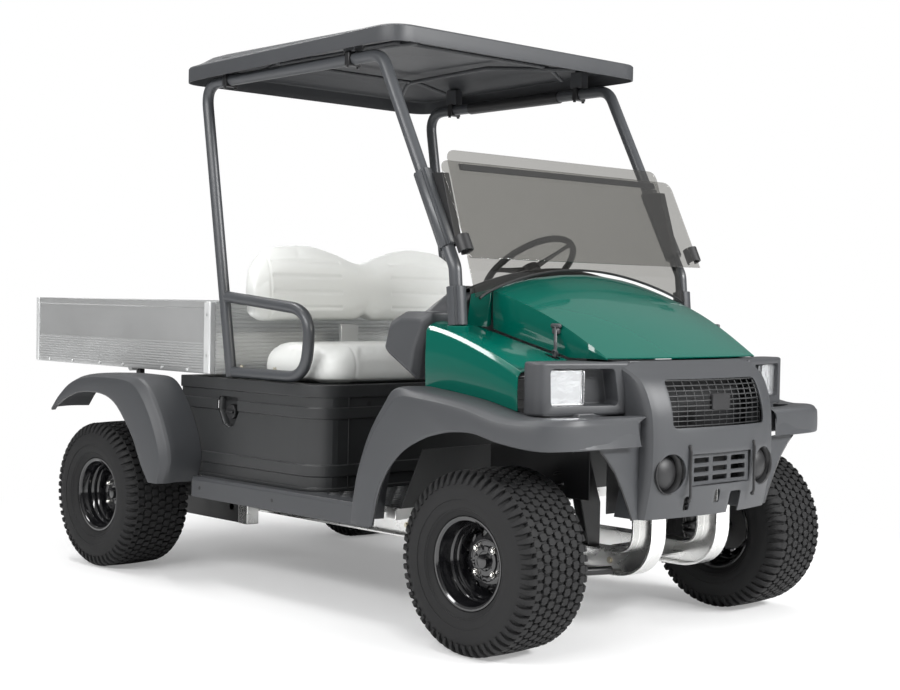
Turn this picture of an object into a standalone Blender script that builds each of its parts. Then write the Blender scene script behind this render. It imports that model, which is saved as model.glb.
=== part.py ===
# Small four-wheel utility vehicle with a tipping aluminium load bed and a roof.
# Metres, +X is forward, +Y is the driver's left, +Z is up. The origin lies on the
# floor below the centre of the bounding box.

import math

import bmesh
import bpy
from mathutils import Matrix, Vector

# Driving dimensions of the whole vehicle
WIDTH = 1.54
HEIGHT = 1.97
WHEELBASE = 2.01
LENGTH = WHEELBASE * 1.5522388
REAR_OVERHANG = WHEELBASE * 0.3557214
FRONT_TRACK = WIDTH * 0.7922078
REAR_TRACK = WIDTH * 0.8181818
BODY_HALF = WIDTH * 0.3896104

# Gaps: seated pieces, moving pieces, shaft in bore, and the overrun of every cut
SEAT_GAP = 0.0003
MOVE_GAP = 0.008
BORE_GAP = 0.0006
OVERRUN = 0.02

# Places that several pieces share
NOSE_X = LENGTH / 2
TAIL_X = -LENGTH / 2
REAR_AXLE_X = TAIL_X + REAR_OVERHANG
FRONT_AXLE_X = REAR_AXLE_X + WHEELBASE

# Tyre
TYRE_RADIUS = 0.2794
TYRE_HALF_WIDTH = 0.136
TYRE_SEGMENTS = 24
BEAD_RADIUS = 0.1275
BEAD_HALF = 0.100
AXLE_Z = TYRE_RADIUS

# Wheel
RIM_SEGMENTS = TYRE_SEGMENTS
FLANGE_RADIUS = 0.140
FLANGE_THICK = 0.007
RIM_HALF_WIDTH = 0.112
RIM_WALL = 0.005
DROP_CENTRE_RADIUS = 0.109
DROP_CENTRE_HALF = 0.045
DISC_RISE = 0.034
DISC_THICK = 0.006
BOLT_FACE_RADIUS = 0.055
HUB_CAP_RADIUS = 0.025
HUB_CAP_RISE = 0.022
STUB_RADIUS = 0.020
STUB_REACH = 0.028

# Steering
KINGPIN_HALF = WIDTH * 0.3441558
COLUMN_RADIUS = 0.024
COLUMN_TILT = 40
STEER_WHEEL_X = WHEELBASE * 0.2089552
STEER_WHEEL_Y = WIDTH * 0.2077922
STEER_WHEEL_Z = 1.17
STEER_WHEEL_RADIUS = 0.185
STEER_RIM_RADIUS = 0.014
STEER_HUB_RADIUS = 0.045
STEER_HUB_THICK = 0.036
COLUMN_LENGTH = 0.34

# Main rails and outriggers
RAIL_HALF_SPACING = WIDTH * 0.1071429
RAIL_HEIGHT = 0.080
RAIL_WIDTH = 0.070
RAIL_FLANGE = 0.008
RAIL_WEB = 0.008
RAIL_BOTTOM_Z = 0.205
RAIL_REAR_X = WHEELBASE * -0.2985075
RAIL_BEND_RADIUS = 0.17
RAIL_FRONT_X = WHEELBASE * 0.7164179
RAIL_TOP_Z = 0.47
OUTRIGGER_SIZE = 0.050
FLOOR_Z = 0.385

# Floor and rocker panels
FLOOR_THICK = 0.006
ROCKER_HALF = WIDTH * 0.4220779
ROCKER_DEPTH = 0.070
ROCKER_WALL = 0.006
FLOOR_FRONT_X = WHEELBASE * 0.3656716
TOE_BOARD_RISE = 0.20
TOE_BOARD_RUN = 0.10

# Rear body under the seat
SEAT_BODY_REAR_X = WHEELBASE * -0.2487562
SEAT_BODY_FRONT_X = WHEELBASE * 0.159204
SEAT_BODY_TOP_Z = 0.757
SEAT_BODY_CORNER = 0.13
SEAT_BODY_WALL = 0.006
BAND_DEPTH = 0.008

# Seat
SEAT_REAR_X = WHEELBASE * -0.0746269
SEAT_FRONT_X = WHEELBASE * 0.1492537
SEAT_SIDE_GAP = 0.008
SEAT_HEIGHT = 0.135
SEAT_ROUND = 0.045
BACK_THICK = 0.105
BACK_BOTTOM_Z = 0.955
BACK_TOP_Z = 1.265
BACK_REAR_X = WHEELBASE * -0.1268657
BACK_LEAN = 0.03
BACK_DIP = 0.05
BACK_MIDDLE_SHARE = 0.80
STRAP_THICK = 0.012
STRAP_HALF = 0.045

# Load bed
BED_FRONT_X = WHEELBASE * -0.1517413
BED_HALF = WIDTH * 0.3961039
BED_BOTTOM_Z = 0.767
BED_TOP_Z = 1.034
BED_WALL = 0.024
BED_FLOOR_THICK = 0.030
BED_HINGE_X = WHEELBASE * -0.6766169
BED_HINGE_DROP = 0.026
BED_HINGE_RADIUS = 0.016
BED_HINGE_HALF = WIDTH * 0.1558442

# Rear frame, axle and engine
REAR_FRAME_Z = 0.40
REAR_TUBE = 0.050
REAR_FRAME_HALF = WIDTH * 0.1623377
REAR_FRAME_FRONT_X = WHEELBASE * -0.278607
REAR_FRAME_REAR_X = WHEELBASE * -0.7064677
AXLE_TUBE_RADIUS = 0.034
AXLE_CASE_RADIUS = 0.095
AXLE_CASE_HALF = 0.11
SPRING_WIDTH = 0.05
ENGINE_LENGTH = WHEELBASE * 0.2089552
ENGINE_HALF = WIDTH * 0.1233766
ENGINE_HEIGHT = 0.25
ENGINE_REAR_X = WHEELBASE * -0.3781095
BEAM_REAR_X = WHEELBASE * -0.5771144
BEAM_HALF = WIDTH * 0.1623377
BEAM_WIDTH = 0.045
BEAM_BOTTOM_Z = 0.155
BEAM_HEIGHT = 0.077
HANGER_SIZE = 0.030
HITCH_LENGTH = 0.10
HITCH_WIDTH = 0.07

# Fenders
FENDER_WALL = 0.005
FENDER_ROOT_HALF = BODY_HALF + SEAT_GAP
FRONT_FENDER_REAR_X = WHEELBASE * 0.3233831
FRONT_FENDER_LENGTH = WHEELBASE * 0.4253731
FRONT_FENDER_FOOT_Z = 0.346
FRONT_FENDER_HEIGHT = 0.437
FRONT_FENDER_HALF = WIDTH * 0.4948052
REAR_FENDER_FRONT_X = WHEELBASE * -0.1791045
REAR_FENDER_LENGTH = WHEELBASE * 0.3930348
REAR_FENDER_FOOT_Z = 0.365
REAR_FENDER_HEIGHT = 0.385
FENDER_RIDGE_DROP = 0.035

# Front body
FASCIA_WALL = 0.006
FASCIA_BOTTOM_Z = 0.41
FASCIA_TOP_Z = 0.885
FASCIA_HALF = WIDTH * 0.2064935
FASCIA_BOW = 0.035
FASCIA_SIDE_DEPTH = 0.11
FASCIA_FOOT_RAKE = 0.022
HOOD_REAR_X = WHEELBASE * 0.4766169
HOOD_REAR_Z = 1.150
HOOD_FRONT_X = WHEELBASE * 0.7114428
HOOD_FRONT_Z = 0.893
HOOD_HALF_REAR = WIDTH * 0.275974
HOOD_HALF_FRONT = WIDTH * 0.2435065
HOOD_WALL = 0.005
HOOD_CROWN = 0.060
HOOD_BULGE = 0.022
HOOD_SKIRT = 0.100
COWL_REAR_X = WHEELBASE * 0.4288557
COWL_FRONT_X = WHEELBASE * 0.6278607
COWL_HALF = WIDTH * 0.4038961
COWL_WALL = 0.005
COWL_CREASE_REAR_Z = 0.978
COWL_CREASE_FRONT_Z = 0.850
COWL_FOOT_DROP = 0.018
COWL_CURVE_SHARE = 1.4
BRIDGE_DEPTH = 0.030
POD_REAR_X = WHEELBASE * 0.6308458
POD_SIDE_X = WHEELBASE * 0.6691542
POD_FRONT_X = WHEELBASE * 0.7089552
POD_HALF = WIDTH * 0.4025974
POD_INNER_HALF = WIDTH * 0.1948052
POD_BOTTOM_Z = 0.7305
POD_TOP_Z = 0.882
POD_BORDER = 0.020
LAMP_DEPTH = 0.060
LAMP_WIDTH = 0.140
GRILLE_HALF = WIDTH * 0.1298701
GRILLE_BOTTOM_Z = 0.700
GRILLE_TOP_Z = 0.815
GRILLE_BAR = 0.006
GRILLE_COLUMNS = 10
GRILLE_ROWS = 6
SLOT_PLATE_HALF = WIDTH * 0.0844156
SLOT_PLATE_BOTTOM_Z = 0.500
SLOT_PLATE_TOP_Z = 0.600
SLOT_PLATE_THICK = 0.012
RECESS_RADIUS = 0.060
RECESS_Y = WIDTH * 0.1525974
RECESS_Z = 0.549
VALANCE_HALF = WIDTH * 0.3246753

# Dash
DASH_HALF = WIDTH * 0.4012987
DASH_REAR_X = WHEELBASE * 0.318408
DASH_FRONT_X = COWL_REAR_X - SEAT_GAP
DASH_TOP_Z = 1.020
DASH_CROWN = 0.090
DASH_BOTTOM_Z = 0.800

# Canopy and its hoops
TUBE_RADIUS = 0.021
TUBE_SEGMENTS = 10
HOOP_HALF = WIDTH * 0.3701299
POST_FOOT_X = WHEELBASE * 0.4736318
POST_FOOT_Z = 1.000
POST_KNEE_X = WHEELBASE * 0.4651741
POST_KNEE_Z = 1.160
HEAD_ROOM = HEIGHT - POST_KNEE_Z
POST_TOP_X = WHEELBASE * 0.2860697
POST_TOP_Z = POST_KNEE_Z + HEAD_ROOM * 0.8580247
REAR_POST_X = WHEELBASE * -0.1104478
REAR_POST_TOP_X = WHEELBASE * -0.2014925
REAR_POST_TOP_Z = POST_KNEE_Z + HEAD_ROOM * 0.8024691
HOOP_BEND = 0.060
SLEEVE_RADIUS = 0.031
SLEEVE_LENGTH = 0.24
LOOP_REACH = 0.43
LOOP_HEIGHT = 0.275
CANOPY_REAR_X = WHEELBASE * -0.2462687
CANOPY_FRONT_X = WHEELBASE * 0.3432836
CANOPY_HALF = WIDTH * 0.4058442
CANOPY_REAR_Z = POST_KNEE_Z + HEAD_ROOM * 0.8419753
CANOPY_FRONT_Z = POST_KNEE_Z + HEAD_ROOM * 0.8975309
CANOPY_LIP = 0.055
CANOPY_WALL = 0.005
CANOPY_CORNER = 0.09
BOSS_LENGTH = 0.06

# The bench fills the space between the hip loops; the rear post stands on the seat body
SEAT_HALF = HOOP_HALF - TUBE_RADIUS - SEAT_SIDE_GAP
REAR_POST_LEAN = (REAR_POST_TOP_X - REAR_POST_X) / (REAR_POST_TOP_Z - SEAT_BODY_TOP_Z)
REAR_POST_Z = SEAT_BODY_TOP_Z + SEAT_GAP + TUBE_RADIUS * abs(REAR_POST_LEAN)

# Windscreen
PANE_THICK = 0.005
PANE_FOOT_X = WHEELBASE * 0.4900498
PANE_FOOT_Z = 1.065
PANE_TOP_X = WHEELBASE * 0.4159204
PANE_TOP_Z = POST_KNEE_Z + HEAD_ROOM * 0.4617284
PANE_HALF = WIDTH * 0.3435065
PANE_ARCH = 0.115
FOLD_TOP_X = WHEELBASE * 0.4288557
FOLD_TOP_Z = POST_KNEE_Z + HEAD_ROOM * 0.4148148
FOLD_FOOT_X = WHEELBASE * 0.5024876
FOLD_FOOT_Z = POST_KNEE_Z + HEAD_ROOM * 0.0333333
FOLD_HALF = WIDTH * 0.3772727
PANE_CORNER = 0.04
HINGE_STRIP = 0.022

# Front suspension
ARM_THICK = 0.030
ARM_ROOT_HALF = 0.14
ARM_TIP_HALF = 0.028
ARM_Z = 0.222
SHOCK_RADIUS = 0.034
SHOCK_FOOT_Y = WIDTH * 0.25
SHOCK_TOP_Y = WIDTH * 0.1883117
SHOCK_TOP_Z = 0.560
KNUCKLE_HALF_HEIGHT = 0.075
KNUCKLE_LENGTH = 0.050
DRUM_RADIUS = 0.085
DRUM_THICK = 0.030
TOWER_TOP_Z = 0.60

# Pedals
PEDAL_WIDTH = 0.075
PEDAL_HEIGHT = 0.095
PEDAL_THICK = 0.014
PEDAL_ARM = 0.012


def clear_scene():
    for item in list(bpy.data.objects):
        bpy.data.objects.remove(item, do_unlink=True)


def finish(name, colour, roughness, metallic=0.0):
    made = bpy.data.materials.new(name)
    made.use_nodes = True
    shader = made.node_tree.nodes["Principled BSDF"]
    shader.inputs["Base Color"].default_value = (*colour, 1)
    shader.inputs["Roughness"].default_value = roughness
    shader.inputs["Metallic"].default_value = metallic
    return made


def mesh_object(name, verts, faces):
    data = bpy.data.meshes.new(name)
    data.from_pydata([tuple(v) for v in verts], [], faces)
    made = bpy.data.objects.new(name, data)
    bpy.context.scene.collection.objects.link(made)
    return made


def face_out(item):
    shape = bmesh.new()
    shape.from_mesh(item.data)
    bmesh.ops.recalc_face_normals(shape, faces=shape.faces[:])
    shape.to_mesh(item.data)
    shape.free()
    return item


def bake(item):
    graph = bpy.context.evaluated_depsgraph_get()
    data = bpy.data.meshes.new_from_object(item.evaluated_get(graph))
    item.modifiers.clear()
    item.data = data
    return item


def loft(name, rings, closed=False):
    """Skin a row of equal rings; the ends are capped unless the row closes on itself."""
    count = len(rings[0])
    verts = [point for ring in rings for point in ring]
    faces = []
    steps = len(rings) if closed else len(rings) - 1
    for i in range(steps):
        low = i * count
        high = ((i + 1) % len(rings)) * count
        for j in range(count):
            k = (j + 1) % count
            faces.append((low + j, low + k, high + k, high + j))
    if not closed:
        faces.append(tuple(range(count - 1, -1, -1)))
        faces.append(tuple(range((len(rings) - 1) * count, len(rings) * count)))
    return face_out(mesh_object(name, verts, faces))


def panel(name, rows, wall, side=-1):
    """A thin moulding: a grid of points given a wall by Solidify."""
    count = len(rows[0])
    verts = [point for row in rows for point in row]
    faces = []
    for i in range(len(rows) - 1):
        for j in range(count - 1):
            a = i * count + j
            faces.append((a, a + 1, a + 1 + count, a + count))
    made = mesh_object(name, verts, faces)
    thick = made.modifiers.new("wall", "SOLIDIFY")
    thick.thickness = wall
    thick.offset = side
    thick.use_even_offset = True
    thick.use_quality_normals = True
    return face_out(bake(made))


def prism(name, outline, low, high, axis="Y"):
    """An outline in the plane across the axis, drawn out from low to high."""
    place = {
        "X": lambda u, v, w: (w, u, v),
        "Y": lambda u, v, w: (u, w, v),
        "Z": lambda u, v, w: (u, v, w),
    }[axis]
    rings = [[place(u, v, w) for u, v in outline] for w in (low, high)]
    return loft(name, rings)


def box(name, x0, x1, y0, y1, z0, z1):
    return prism(name, [(x0, y0), (x1, y0), (x1, y1), (x0, y1)], z0, z1, "Z")


def circle(radius, count, turn=0.0):
    step = math.tau / count
    return [(radius * math.cos(turn + i * step), radius * math.sin(turn + i * step)) for i in range(count)]


def rod(name, start, end, radius, count=TUBE_SEGMENTS, end_radius=None):
    start = Vector(start)
    end = Vector(end)
    along = (end - start).normalized()
    turn = along.to_track_quat("Z", "Y")
    radii = (radius, radius if end_radius is None else end_radius)
    rings = []
    for centre, size in zip((start, end), radii):
        rings.append([centre + turn @ Vector((u, v, 0)) for u, v in circle(size, count)])
    return loft(name, rings)


def tube(name, path, radius, count=TUBE_SEGMENTS, closed=False):
    """A round bar along a path whose points lie in a plane across Y or in any gentle curve."""
    points = [Vector(p) for p in path]
    total = len(points)
    rings = []
    for i, centre in enumerate(points):
        first = i == 0 and not closed
        last = i == total - 1 and not closed
        away = (points[(i + 1) % total] - centre).normalized() if not last else Vector((0, 0, 0))
        into = (centre - points[i - 1]).normalized() if not first else away
        along = (into + away).normalized()
        side = Vector((0, 1, 0)) - along * along.y
        side.normalize()
        up = along.cross(side)
        stretch = 1 / along.dot(into)
        rings.append([centre + side * u + up * v * stretch for u, v in circle(radius, count)])
    return loft(name, rings, closed)


def bend(points, radius, steps=4):
    """Round the corners of a path in a plane with arcs of the given radius."""
    points = [Vector(p) for p in points]
    made = [points[0]]
    for before, corner, after in zip(points, points[1:], points[2:]):
        one = (before - corner).normalized()
        two = (after - corner).normalized()
        half = one.angle(two) / 2
        reach = radius / math.tan(half)
        centre = corner + (one + two).normalized() * (radius / math.sin(half))
        start = corner + one * reach - centre
        end = corner + two * reach - centre
        whole = start.angle(end)
        for i in range(steps + 1):
            share = i / steps
            made.append(centre + (start * math.sin(whole * (1 - share)) + end * math.sin(whole * share))
                        / math.sin(whole))
    made.append(points[-1])
    return made


def turned(name, profile, count, closed=True):
    """Turn a closed loop of (y, radius) about the Y axis; points on the axis become poles."""
    rings = []
    flat = math.pi / count
    for i in range(count):
        angle = math.tau * i / count + flat
        rings.append([(r * math.cos(angle) / math.cos(flat), y, r * math.sin(angle) / math.cos(flat))
                      for y, r in profile])
    made = loft(name, rings, closed=True)
    weld(made)
    return made


def weld(item):
    shape = bmesh.new()
    shape.from_mesh(item.data)
    bmesh.ops.remove_doubles(shape, verts=shape.verts[:], dist=SEAT_GAP / 3)
    bmesh.ops.dissolve_degenerate(shape, edges=shape.edges[:], dist=SEAT_GAP / 3)
    bmesh.ops.recalc_face_normals(shape, faces=shape.faces[:])
    shape.to_mesh(item.data)
    shape.free()


def combine(item, other, operation="UNION"):
    step = item.modifiers.new(operation.lower(), "BOOLEAN")
    step.operation = operation
    step.solver = "EXACT"
    step.object = other
    bake(item)
    bpy.data.objects.remove(other, do_unlink=True)
    return item


def cut(item, other):
    return combine(item, other, "DIFFERENCE")


def wear(item, material):
    item.data.materials.clear()
    item.data.materials.append(material)
    item.data.shade_smooth()
    item.data.set_sharp_from_angle(angle=math.radians(30))
    return item


def mirrored(item, name):
    data = item.data.copy()
    data.transform(Matrix.Scale(-1, 4, (0, 1, 0)))
    data.flip_normals()
    made = bpy.data.objects.new(name, data)
    bpy.context.scene.collection.objects.link(made)
    return made


def pivot(name, place):
    made = bpy.data.objects.new(name, None)
    made.location = place
    bpy.context.scene.collection.objects.link(made)
    return made


def hang(items, carrier):
    """Parent pieces to their joint's empty and leave them where they are."""
    for item in items:
        item.parent = carrier
        item.matrix_parent_inverse = Matrix.Translation(carrier.location).inverted()


def rounded(x0, x1, half, front_round, rear_round, steps=5):
    """A plan outline with round front and rear corners."""
    made = []
    corners = ((x1, half, front_round, 0), (x0, half, rear_round, 1),
               (x0, -half, rear_round, 2), (x1, -half, front_round, 3))
    for x, y, radius, quarter in corners:
        cx = x - math.copysign(radius, x - (x0 + x1) / 2)
        cy = y - math.copysign(radius, y)
        for i in range(steps + 1):
            angle = math.pi / 2 * (quarter + i / steps)
            made.append((cx + radius * math.cos(angle), cy + radius * math.sin(angle)))
    return made


def between(a, b, share):
    return a + (b - a) * share


def tyre_profile():
    crown_shares = ((0.0, 1.0), (0.44, 0.992), (0.80, 0.962), (0.97, 0.87), (1.0, 0.70))
    outer = [(TYRE_HALF_WIDTH * w, TYRE_RADIUS * r) for w, r in crown_shares]
    heel = [(BEAD_HALF + FLANGE_THICK / 2, FLANGE_RADIUS + FLANGE_THICK / 2), (BEAD_HALF, BEAD_RADIUS)]
    right = outer + heel
    left = [(-y, r) for y, r in reversed(right[1:])]
    return left + right


def build_tyre(name, rubber):
    return wear(turned(name, tyre_profile(), TYRE_SEGMENTS), rubber)


def rim_profile():
    seat = BEAD_RADIUS - SEAT_GAP
    inner_seat = seat - RIM_WALL
    inner_drop = DROP_CENTRE_RADIUS - RIM_WALL
    flange_in = RIM_HALF_WIDTH - FLANGE_THICK
    step = DROP_CENTRE_HALF + RIM_WALL * 2
    face = DISC_RISE
    back = face - DISC_THICK
    bore = STUB_RADIUS + BORE_GAP
    return [
        (face + HUB_CAP_RISE, 0), (face + HUB_CAP_RISE, HUB_CAP_RADIUS - RIM_WALL), (face, HUB_CAP_RADIUS),
        (face, BOLT_FACE_RADIUS), (face / 2, inner_drop - RIM_WALL * 2), (face / 2, inner_drop),
        (DROP_CENTRE_HALF, inner_drop), (step, inner_seat), (flange_in, inner_seat),
        (RIM_HALF_WIDTH, FLANGE_RADIUS - RIM_WALL), (RIM_HALF_WIDTH, FLANGE_RADIUS),
        (flange_in, FLANGE_RADIUS), (flange_in, seat), (step, seat),
        (DROP_CENTRE_HALF, DROP_CENTRE_RADIUS), (-DROP_CENTRE_HALF, DROP_CENTRE_RADIUS),
        (-step, seat), (-flange_in, seat), (-flange_in, FLANGE_RADIUS), (-RIM_HALF_WIDTH, FLANGE_RADIUS),
        (-RIM_HALF_WIDTH, FLANGE_RADIUS - RIM_WALL), (-flange_in, inner_seat), (-step, inner_seat),
        (-DROP_CENTRE_HALF, inner_drop), (face / 2 - DISC_THICK, inner_drop), (back, BOLT_FACE_RADIUS),
        (back, bore + RIM_WALL * 2), (0, bore + RIM_WALL * 2), (0, bore), (back, bore), (back, 0),
    ]


def build_rim(name, steel):
    return wear(turned(name, rim_profile(), RIM_SEGMENTS), steel)


def place_wheel(tag, x, half_track, side, patterns):
    """Stand a wheel on its axle; the right-hand ones are mirrored to face out."""
    made = []
    for kind, pattern in zip(("rim_", "tyre_"), patterns):
        item = mirrored(pattern, kind + tag)
        if side > 0:
            item.data = pattern.data
        item.location = (x, side * half_track, AXLE_Z)
        made.append(item)
    return made


def build_wheels(steel, rubber):
    rim = build_rim("rim_shape", steel)
    tyre = build_tyre("tyre_shape", rubber)
    corners = (
        ("front_left", FRONT_AXLE_X, FRONT_TRACK / 2, 1), ("front_right", FRONT_AXLE_X, FRONT_TRACK / 2, -1),
        ("rear_left", REAR_AXLE_X, REAR_TRACK / 2, 1), ("rear_right", REAR_AXLE_X, REAR_TRACK / 2, -1),
    )
    made = {}
    for tag, x, half_track, side in corners:
        made[tag] = place_wheel(tag, x, half_track, side, (rim, tyre))
    for pattern in (rim, tyre):
        bpy.data.objects.remove(pattern, do_unlink=True)
    return made


def build_knuckle(metal):
    """Left upright: stub axle into the wheel's hub, drum, kingpin post and steering arm."""
    y_wheel = FRONT_TRACK / 2
    stub_end = y_wheel + STUB_REACH - BORE_GAP
    drum_out = y_wheel - RIM_WALL
    item = rod("knuckle_left", (FRONT_AXLE_X, KINGPIN_HALF, AXLE_Z), (FRONT_AXLE_X, stub_end, AXLE_Z),
               STUB_RADIUS)
    drum = rod("drum", (FRONT_AXLE_X, drum_out - DRUM_THICK, AXLE_Z), (FRONT_AXLE_X, drum_out, AXLE_Z),
               DRUM_RADIUS, RIM_SEGMENTS)
    combine(item, drum)
    half = KNUCKLE_LENGTH / 2
    post = box("post", FRONT_AXLE_X - half, FRONT_AXLE_X + half, KINGPIN_HALF - half, KINGPIN_HALF + half,
               ARM_Z + ARM_THICK / 2 + SEAT_GAP, AXLE_Z + KNUCKLE_HALF_HEIGHT)
    combine(item, post)
    arm = box("arm", FRONT_AXLE_X - KNUCKLE_LENGTH * 2, FRONT_AXLE_X, KINGPIN_HALF - half,
              KINGPIN_HALF - half / 2, AXLE_Z - half / 2, AXLE_Z + half / 2)
    combine(item, arm)
    return wear(item, metal)


def rail_path():
    low = RAIL_BOTTOM_Z + RAIL_HEIGHT / 2
    return bend([(RAIL_REAR_X, 0, low), (RAIL_FRONT_X - RAIL_HEIGHT / 2, 0, low),
                 (RAIL_FRONT_X - RAIL_HEIGHT / 2, 0, RAIL_TOP_Z)], RAIL_BEND_RADIUS, 6)


def beam_section():
    """Half width and height of an I section as one outline."""
    w = RAIL_WIDTH / 2
    h = RAIL_HEIGHT / 2
    t = RAIL_WEB / 2
    f = h - RAIL_FLANGE
    return [(-w, -h), (w, -h), (w, -f), (t, -f), (t, f), (w, f), (w, h), (-w, h), (-w, f), (-t, f), (-t, -f),
            (-w, -f)]


def build_rail(name, y):
    """A rail is an I beam that runs level and turns up into the fascia."""
    path = rail_path()
    rings = []
    for i, centre in enumerate(path):
        before = path[max(i - 1, 0)]
        after = path[min(i + 1, len(path) - 1)]
        along = (after - before).normalized()
        up = Vector((-along.z, 0, along.x))
        rings.append([centre + Vector((0, y + u, 0)) + up * v for u, v in beam_section()])
    return loft(name, rings)


def build_frame(metal):
    """Two rails joined by cross members, with outriggers that carry the floor."""
    item = build_rail("frame", RAIL_HALF_SPACING)
    combine(item, build_rail("rail", -RAIL_HALF_SPACING))
    rail_top = RAIL_BOTTOM_Z + RAIL_HEIGHT
    top = FLOOR_Z - SEAT_GAP
    half = OUTRIGGER_SIZE / 2
    reach = BODY_HALF - OUTRIGGER_SIZE
    for x in (SEAT_BODY_REAR_X + OUTRIGGER_SIZE, SEAT_REAR_X / 2, FLOOR_FRONT_X - OUTRIGGER_SIZE * 2):
        combine(item, box("foot", x - half, x + half, -RAIL_HALF_SPACING - half,
                          RAIL_HALF_SPACING + half, rail_top - RAIL_FLANGE / 2, top - half))
        combine(item, box("bar", x - half, x + half, -reach, reach, top - OUTRIGGER_SIZE, top))
    x = FRONT_AXLE_X
    web = RAIL_HALF_SPACING
    combine(item, box("cross", x - half, x + half, -web, web, rail_top - RAIL_HEIGHT / 2 - half,
                      rail_top - RAIL_HEIGHT / 2 + half))
    for side in (1, -1):
        inner = side * (web - half)
        outer = side * (SHOCK_TOP_Y - SHOCK_RADIUS - SEAT_GAP)
        y0, y1 = sorted((inner, outer))
        combine(item, box("tower", x - half, x + half, y0, y1, rail_top - RAIL_FLANGE / 2, TOWER_TOP_Z))
        y0, y1 = sorted((side * (web + RAIL_WIDTH / 2 - RAIL_WEB / 2), side * (BEAM_HALF + RAIL_WEB)))
        combine(item, box("bracket", RAIL_REAR_X + RAIL_WEB, RAIL_REAR_X + RAIL_WIDTH, y0, y1, BEAM_BOTTOM_Z,
                          rail_top - RAIL_FLANGE / 2))
    return wear(item, metal)


def build_floor(plastic):
    """Treaded floor with a sloping toe board, and rocker strips along both sides."""
    low = FLOOR_Z
    high = FLOOR_Z + FLOOR_THICK
    back = SEAT_BODY_FRONT_X - SEAT_BODY_CORNER
    outline = [(back, low), (FLOOR_FRONT_X, low), (FLOOR_FRONT_X + TOE_BOARD_RUN, low + TOE_BOARD_RISE),
               (FLOOR_FRONT_X + TOE_BOARD_RUN - FLOOR_THICK, low + TOE_BOARD_RISE),
               (FLOOR_FRONT_X - FLOOR_THICK / 2, high), (back, high)]
    item = prism("floor_pan", outline, -BODY_HALF, BODY_HALF)
    rear = REAR_FENDER_FRONT_X + MOVE_GAP
    front = FRONT_FENDER_REAR_X - MOVE_GAP
    inner = BODY_HALF - OUTRIGGER_SIZE
    wall = ROCKER_WALL
    for side in (1, -1):
        section = [(inner * side, low), ((ROCKER_HALF - wall) * side, low),
                   ((ROCKER_HALF - wall) * side, low - ROCKER_DEPTH), (ROCKER_HALF * side, low - ROCKER_DEPTH),
                   (ROCKER_HALF * side, high), (inner * side, high)]
        combine(item, prism("rocker", section, rear, front, "X"))
    return wear(item, plastic)


def build_seat_body(plastic):
    """Moulded tub below the seat with raised bands, open below and to the rear."""
    z0 = FLOOR_Z + FLOOR_THICK + SEAT_GAP
    z1 = SEAT_BODY_TOP_Z
    band_shares = ((0.0, 1.0), (0.03, 0.0), (0.14, 0.0), (0.16, 1.0), (0.24, 1.0), (0.26, 0.0),
                   (0.68, 0.0), (0.70, 1.0), (0.78, 1.0), (0.80, 0.0), (0.88, 0.0), (0.90, 1.0), (1.0, 1.0))
    rings = []
    for height, raised in band_shares:
        inset = BAND_DEPTH * (1 - raised)
        plan = rounded(SEAT_BODY_REAR_X, SEAT_BODY_FRONT_X - inset, BODY_HALF - inset,
                       SEAT_BODY_CORNER, BAND_DEPTH, 4)
        rings.append([(x, y, between(z0, z1, height)) for x, y in plan])
    item = loft("seat_body", rings)
    wall = SEAT_BODY_WALL + BAND_DEPTH
    hollow = rounded(SEAT_BODY_REAR_X - OVERRUN, SEAT_BODY_FRONT_X - wall, BODY_HALF - wall,
                     SEAT_BODY_CORNER - wall, BAND_DEPTH, 4)
    cut(item, prism("hollow", hollow, z0 - OVERRUN, z1 - SEAT_BODY_WALL, "Z"))
    return wear(item, plastic)


def build_seat_base(vinyl):
    """Bench cushion with round ends."""
    z0 = SEAT_BODY_TOP_Z + SEAT_GAP
    rise_shares = ((0.0, 0.5), (0.12, 0.1), (0.5, 0.0), (0.85, 0.25), (1.0, 1.0))
    rings = []
    for rise, inset_share in rise_shares:
        inset = SEAT_ROUND * inset_share
        plan = rounded(SEAT_REAR_X + inset, SEAT_FRONT_X - inset, SEAT_HALF - inset,
                       SEAT_ROUND * 2, SEAT_ROUND, 4)
        rings.append([(x, y, z0 + SEAT_HEIGHT * rise) for x, y in plan])
    return wear(loft("seat_base", rings), vinyl)


def build_seat_back(vinyl):
    """Backrest with two humps; its thickness is rounded towards the ends."""
    hump_shares = ((-1.0, 0.28), (-0.94, 0.70), (-0.72, 0.98), (-0.5, 1.0), (-0.25, 0.92), (0.0, BACK_MIDDLE_SHARE),
                   (0.25, 0.92), (0.5, 1.0), (0.72, 0.98), (0.94, 0.70), (1.0, 0.28))
    section_shares = ((0.0, 0.2), (0.0, 0.85), (0.35, 1.0), (0.75, 0.93), (1.0, 0.6), (1.0, 0.15), (0.7, 0.0),
                      (0.25, 0.0))
    rise = BACK_TOP_Z - BACK_BOTTOM_Z
    rings = []
    for across, top in hump_shares:
        end = 1 if abs(across) == 1 else 0
        ring = []
        for depth, height in section_shares:
            low = BACK_DIP * end
            z = BACK_BOTTOM_Z + low + (rise * top - low) * height
            x = BACK_REAR_X + BACK_THICK * (depth * (1 - end / 2) + end / 4)
            x -= BACK_LEAN * height - BACK_LEAN
            ring.append((x, SEAT_HALF * across, z))
        rings.append(ring)
    return wear(loft("seat_back", rings), vinyl)


def back_face_x(share):
    """Rear face of the backrest at a share of its height."""
    return BACK_REAR_X + BACK_LEAN * (1 - share)


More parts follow.
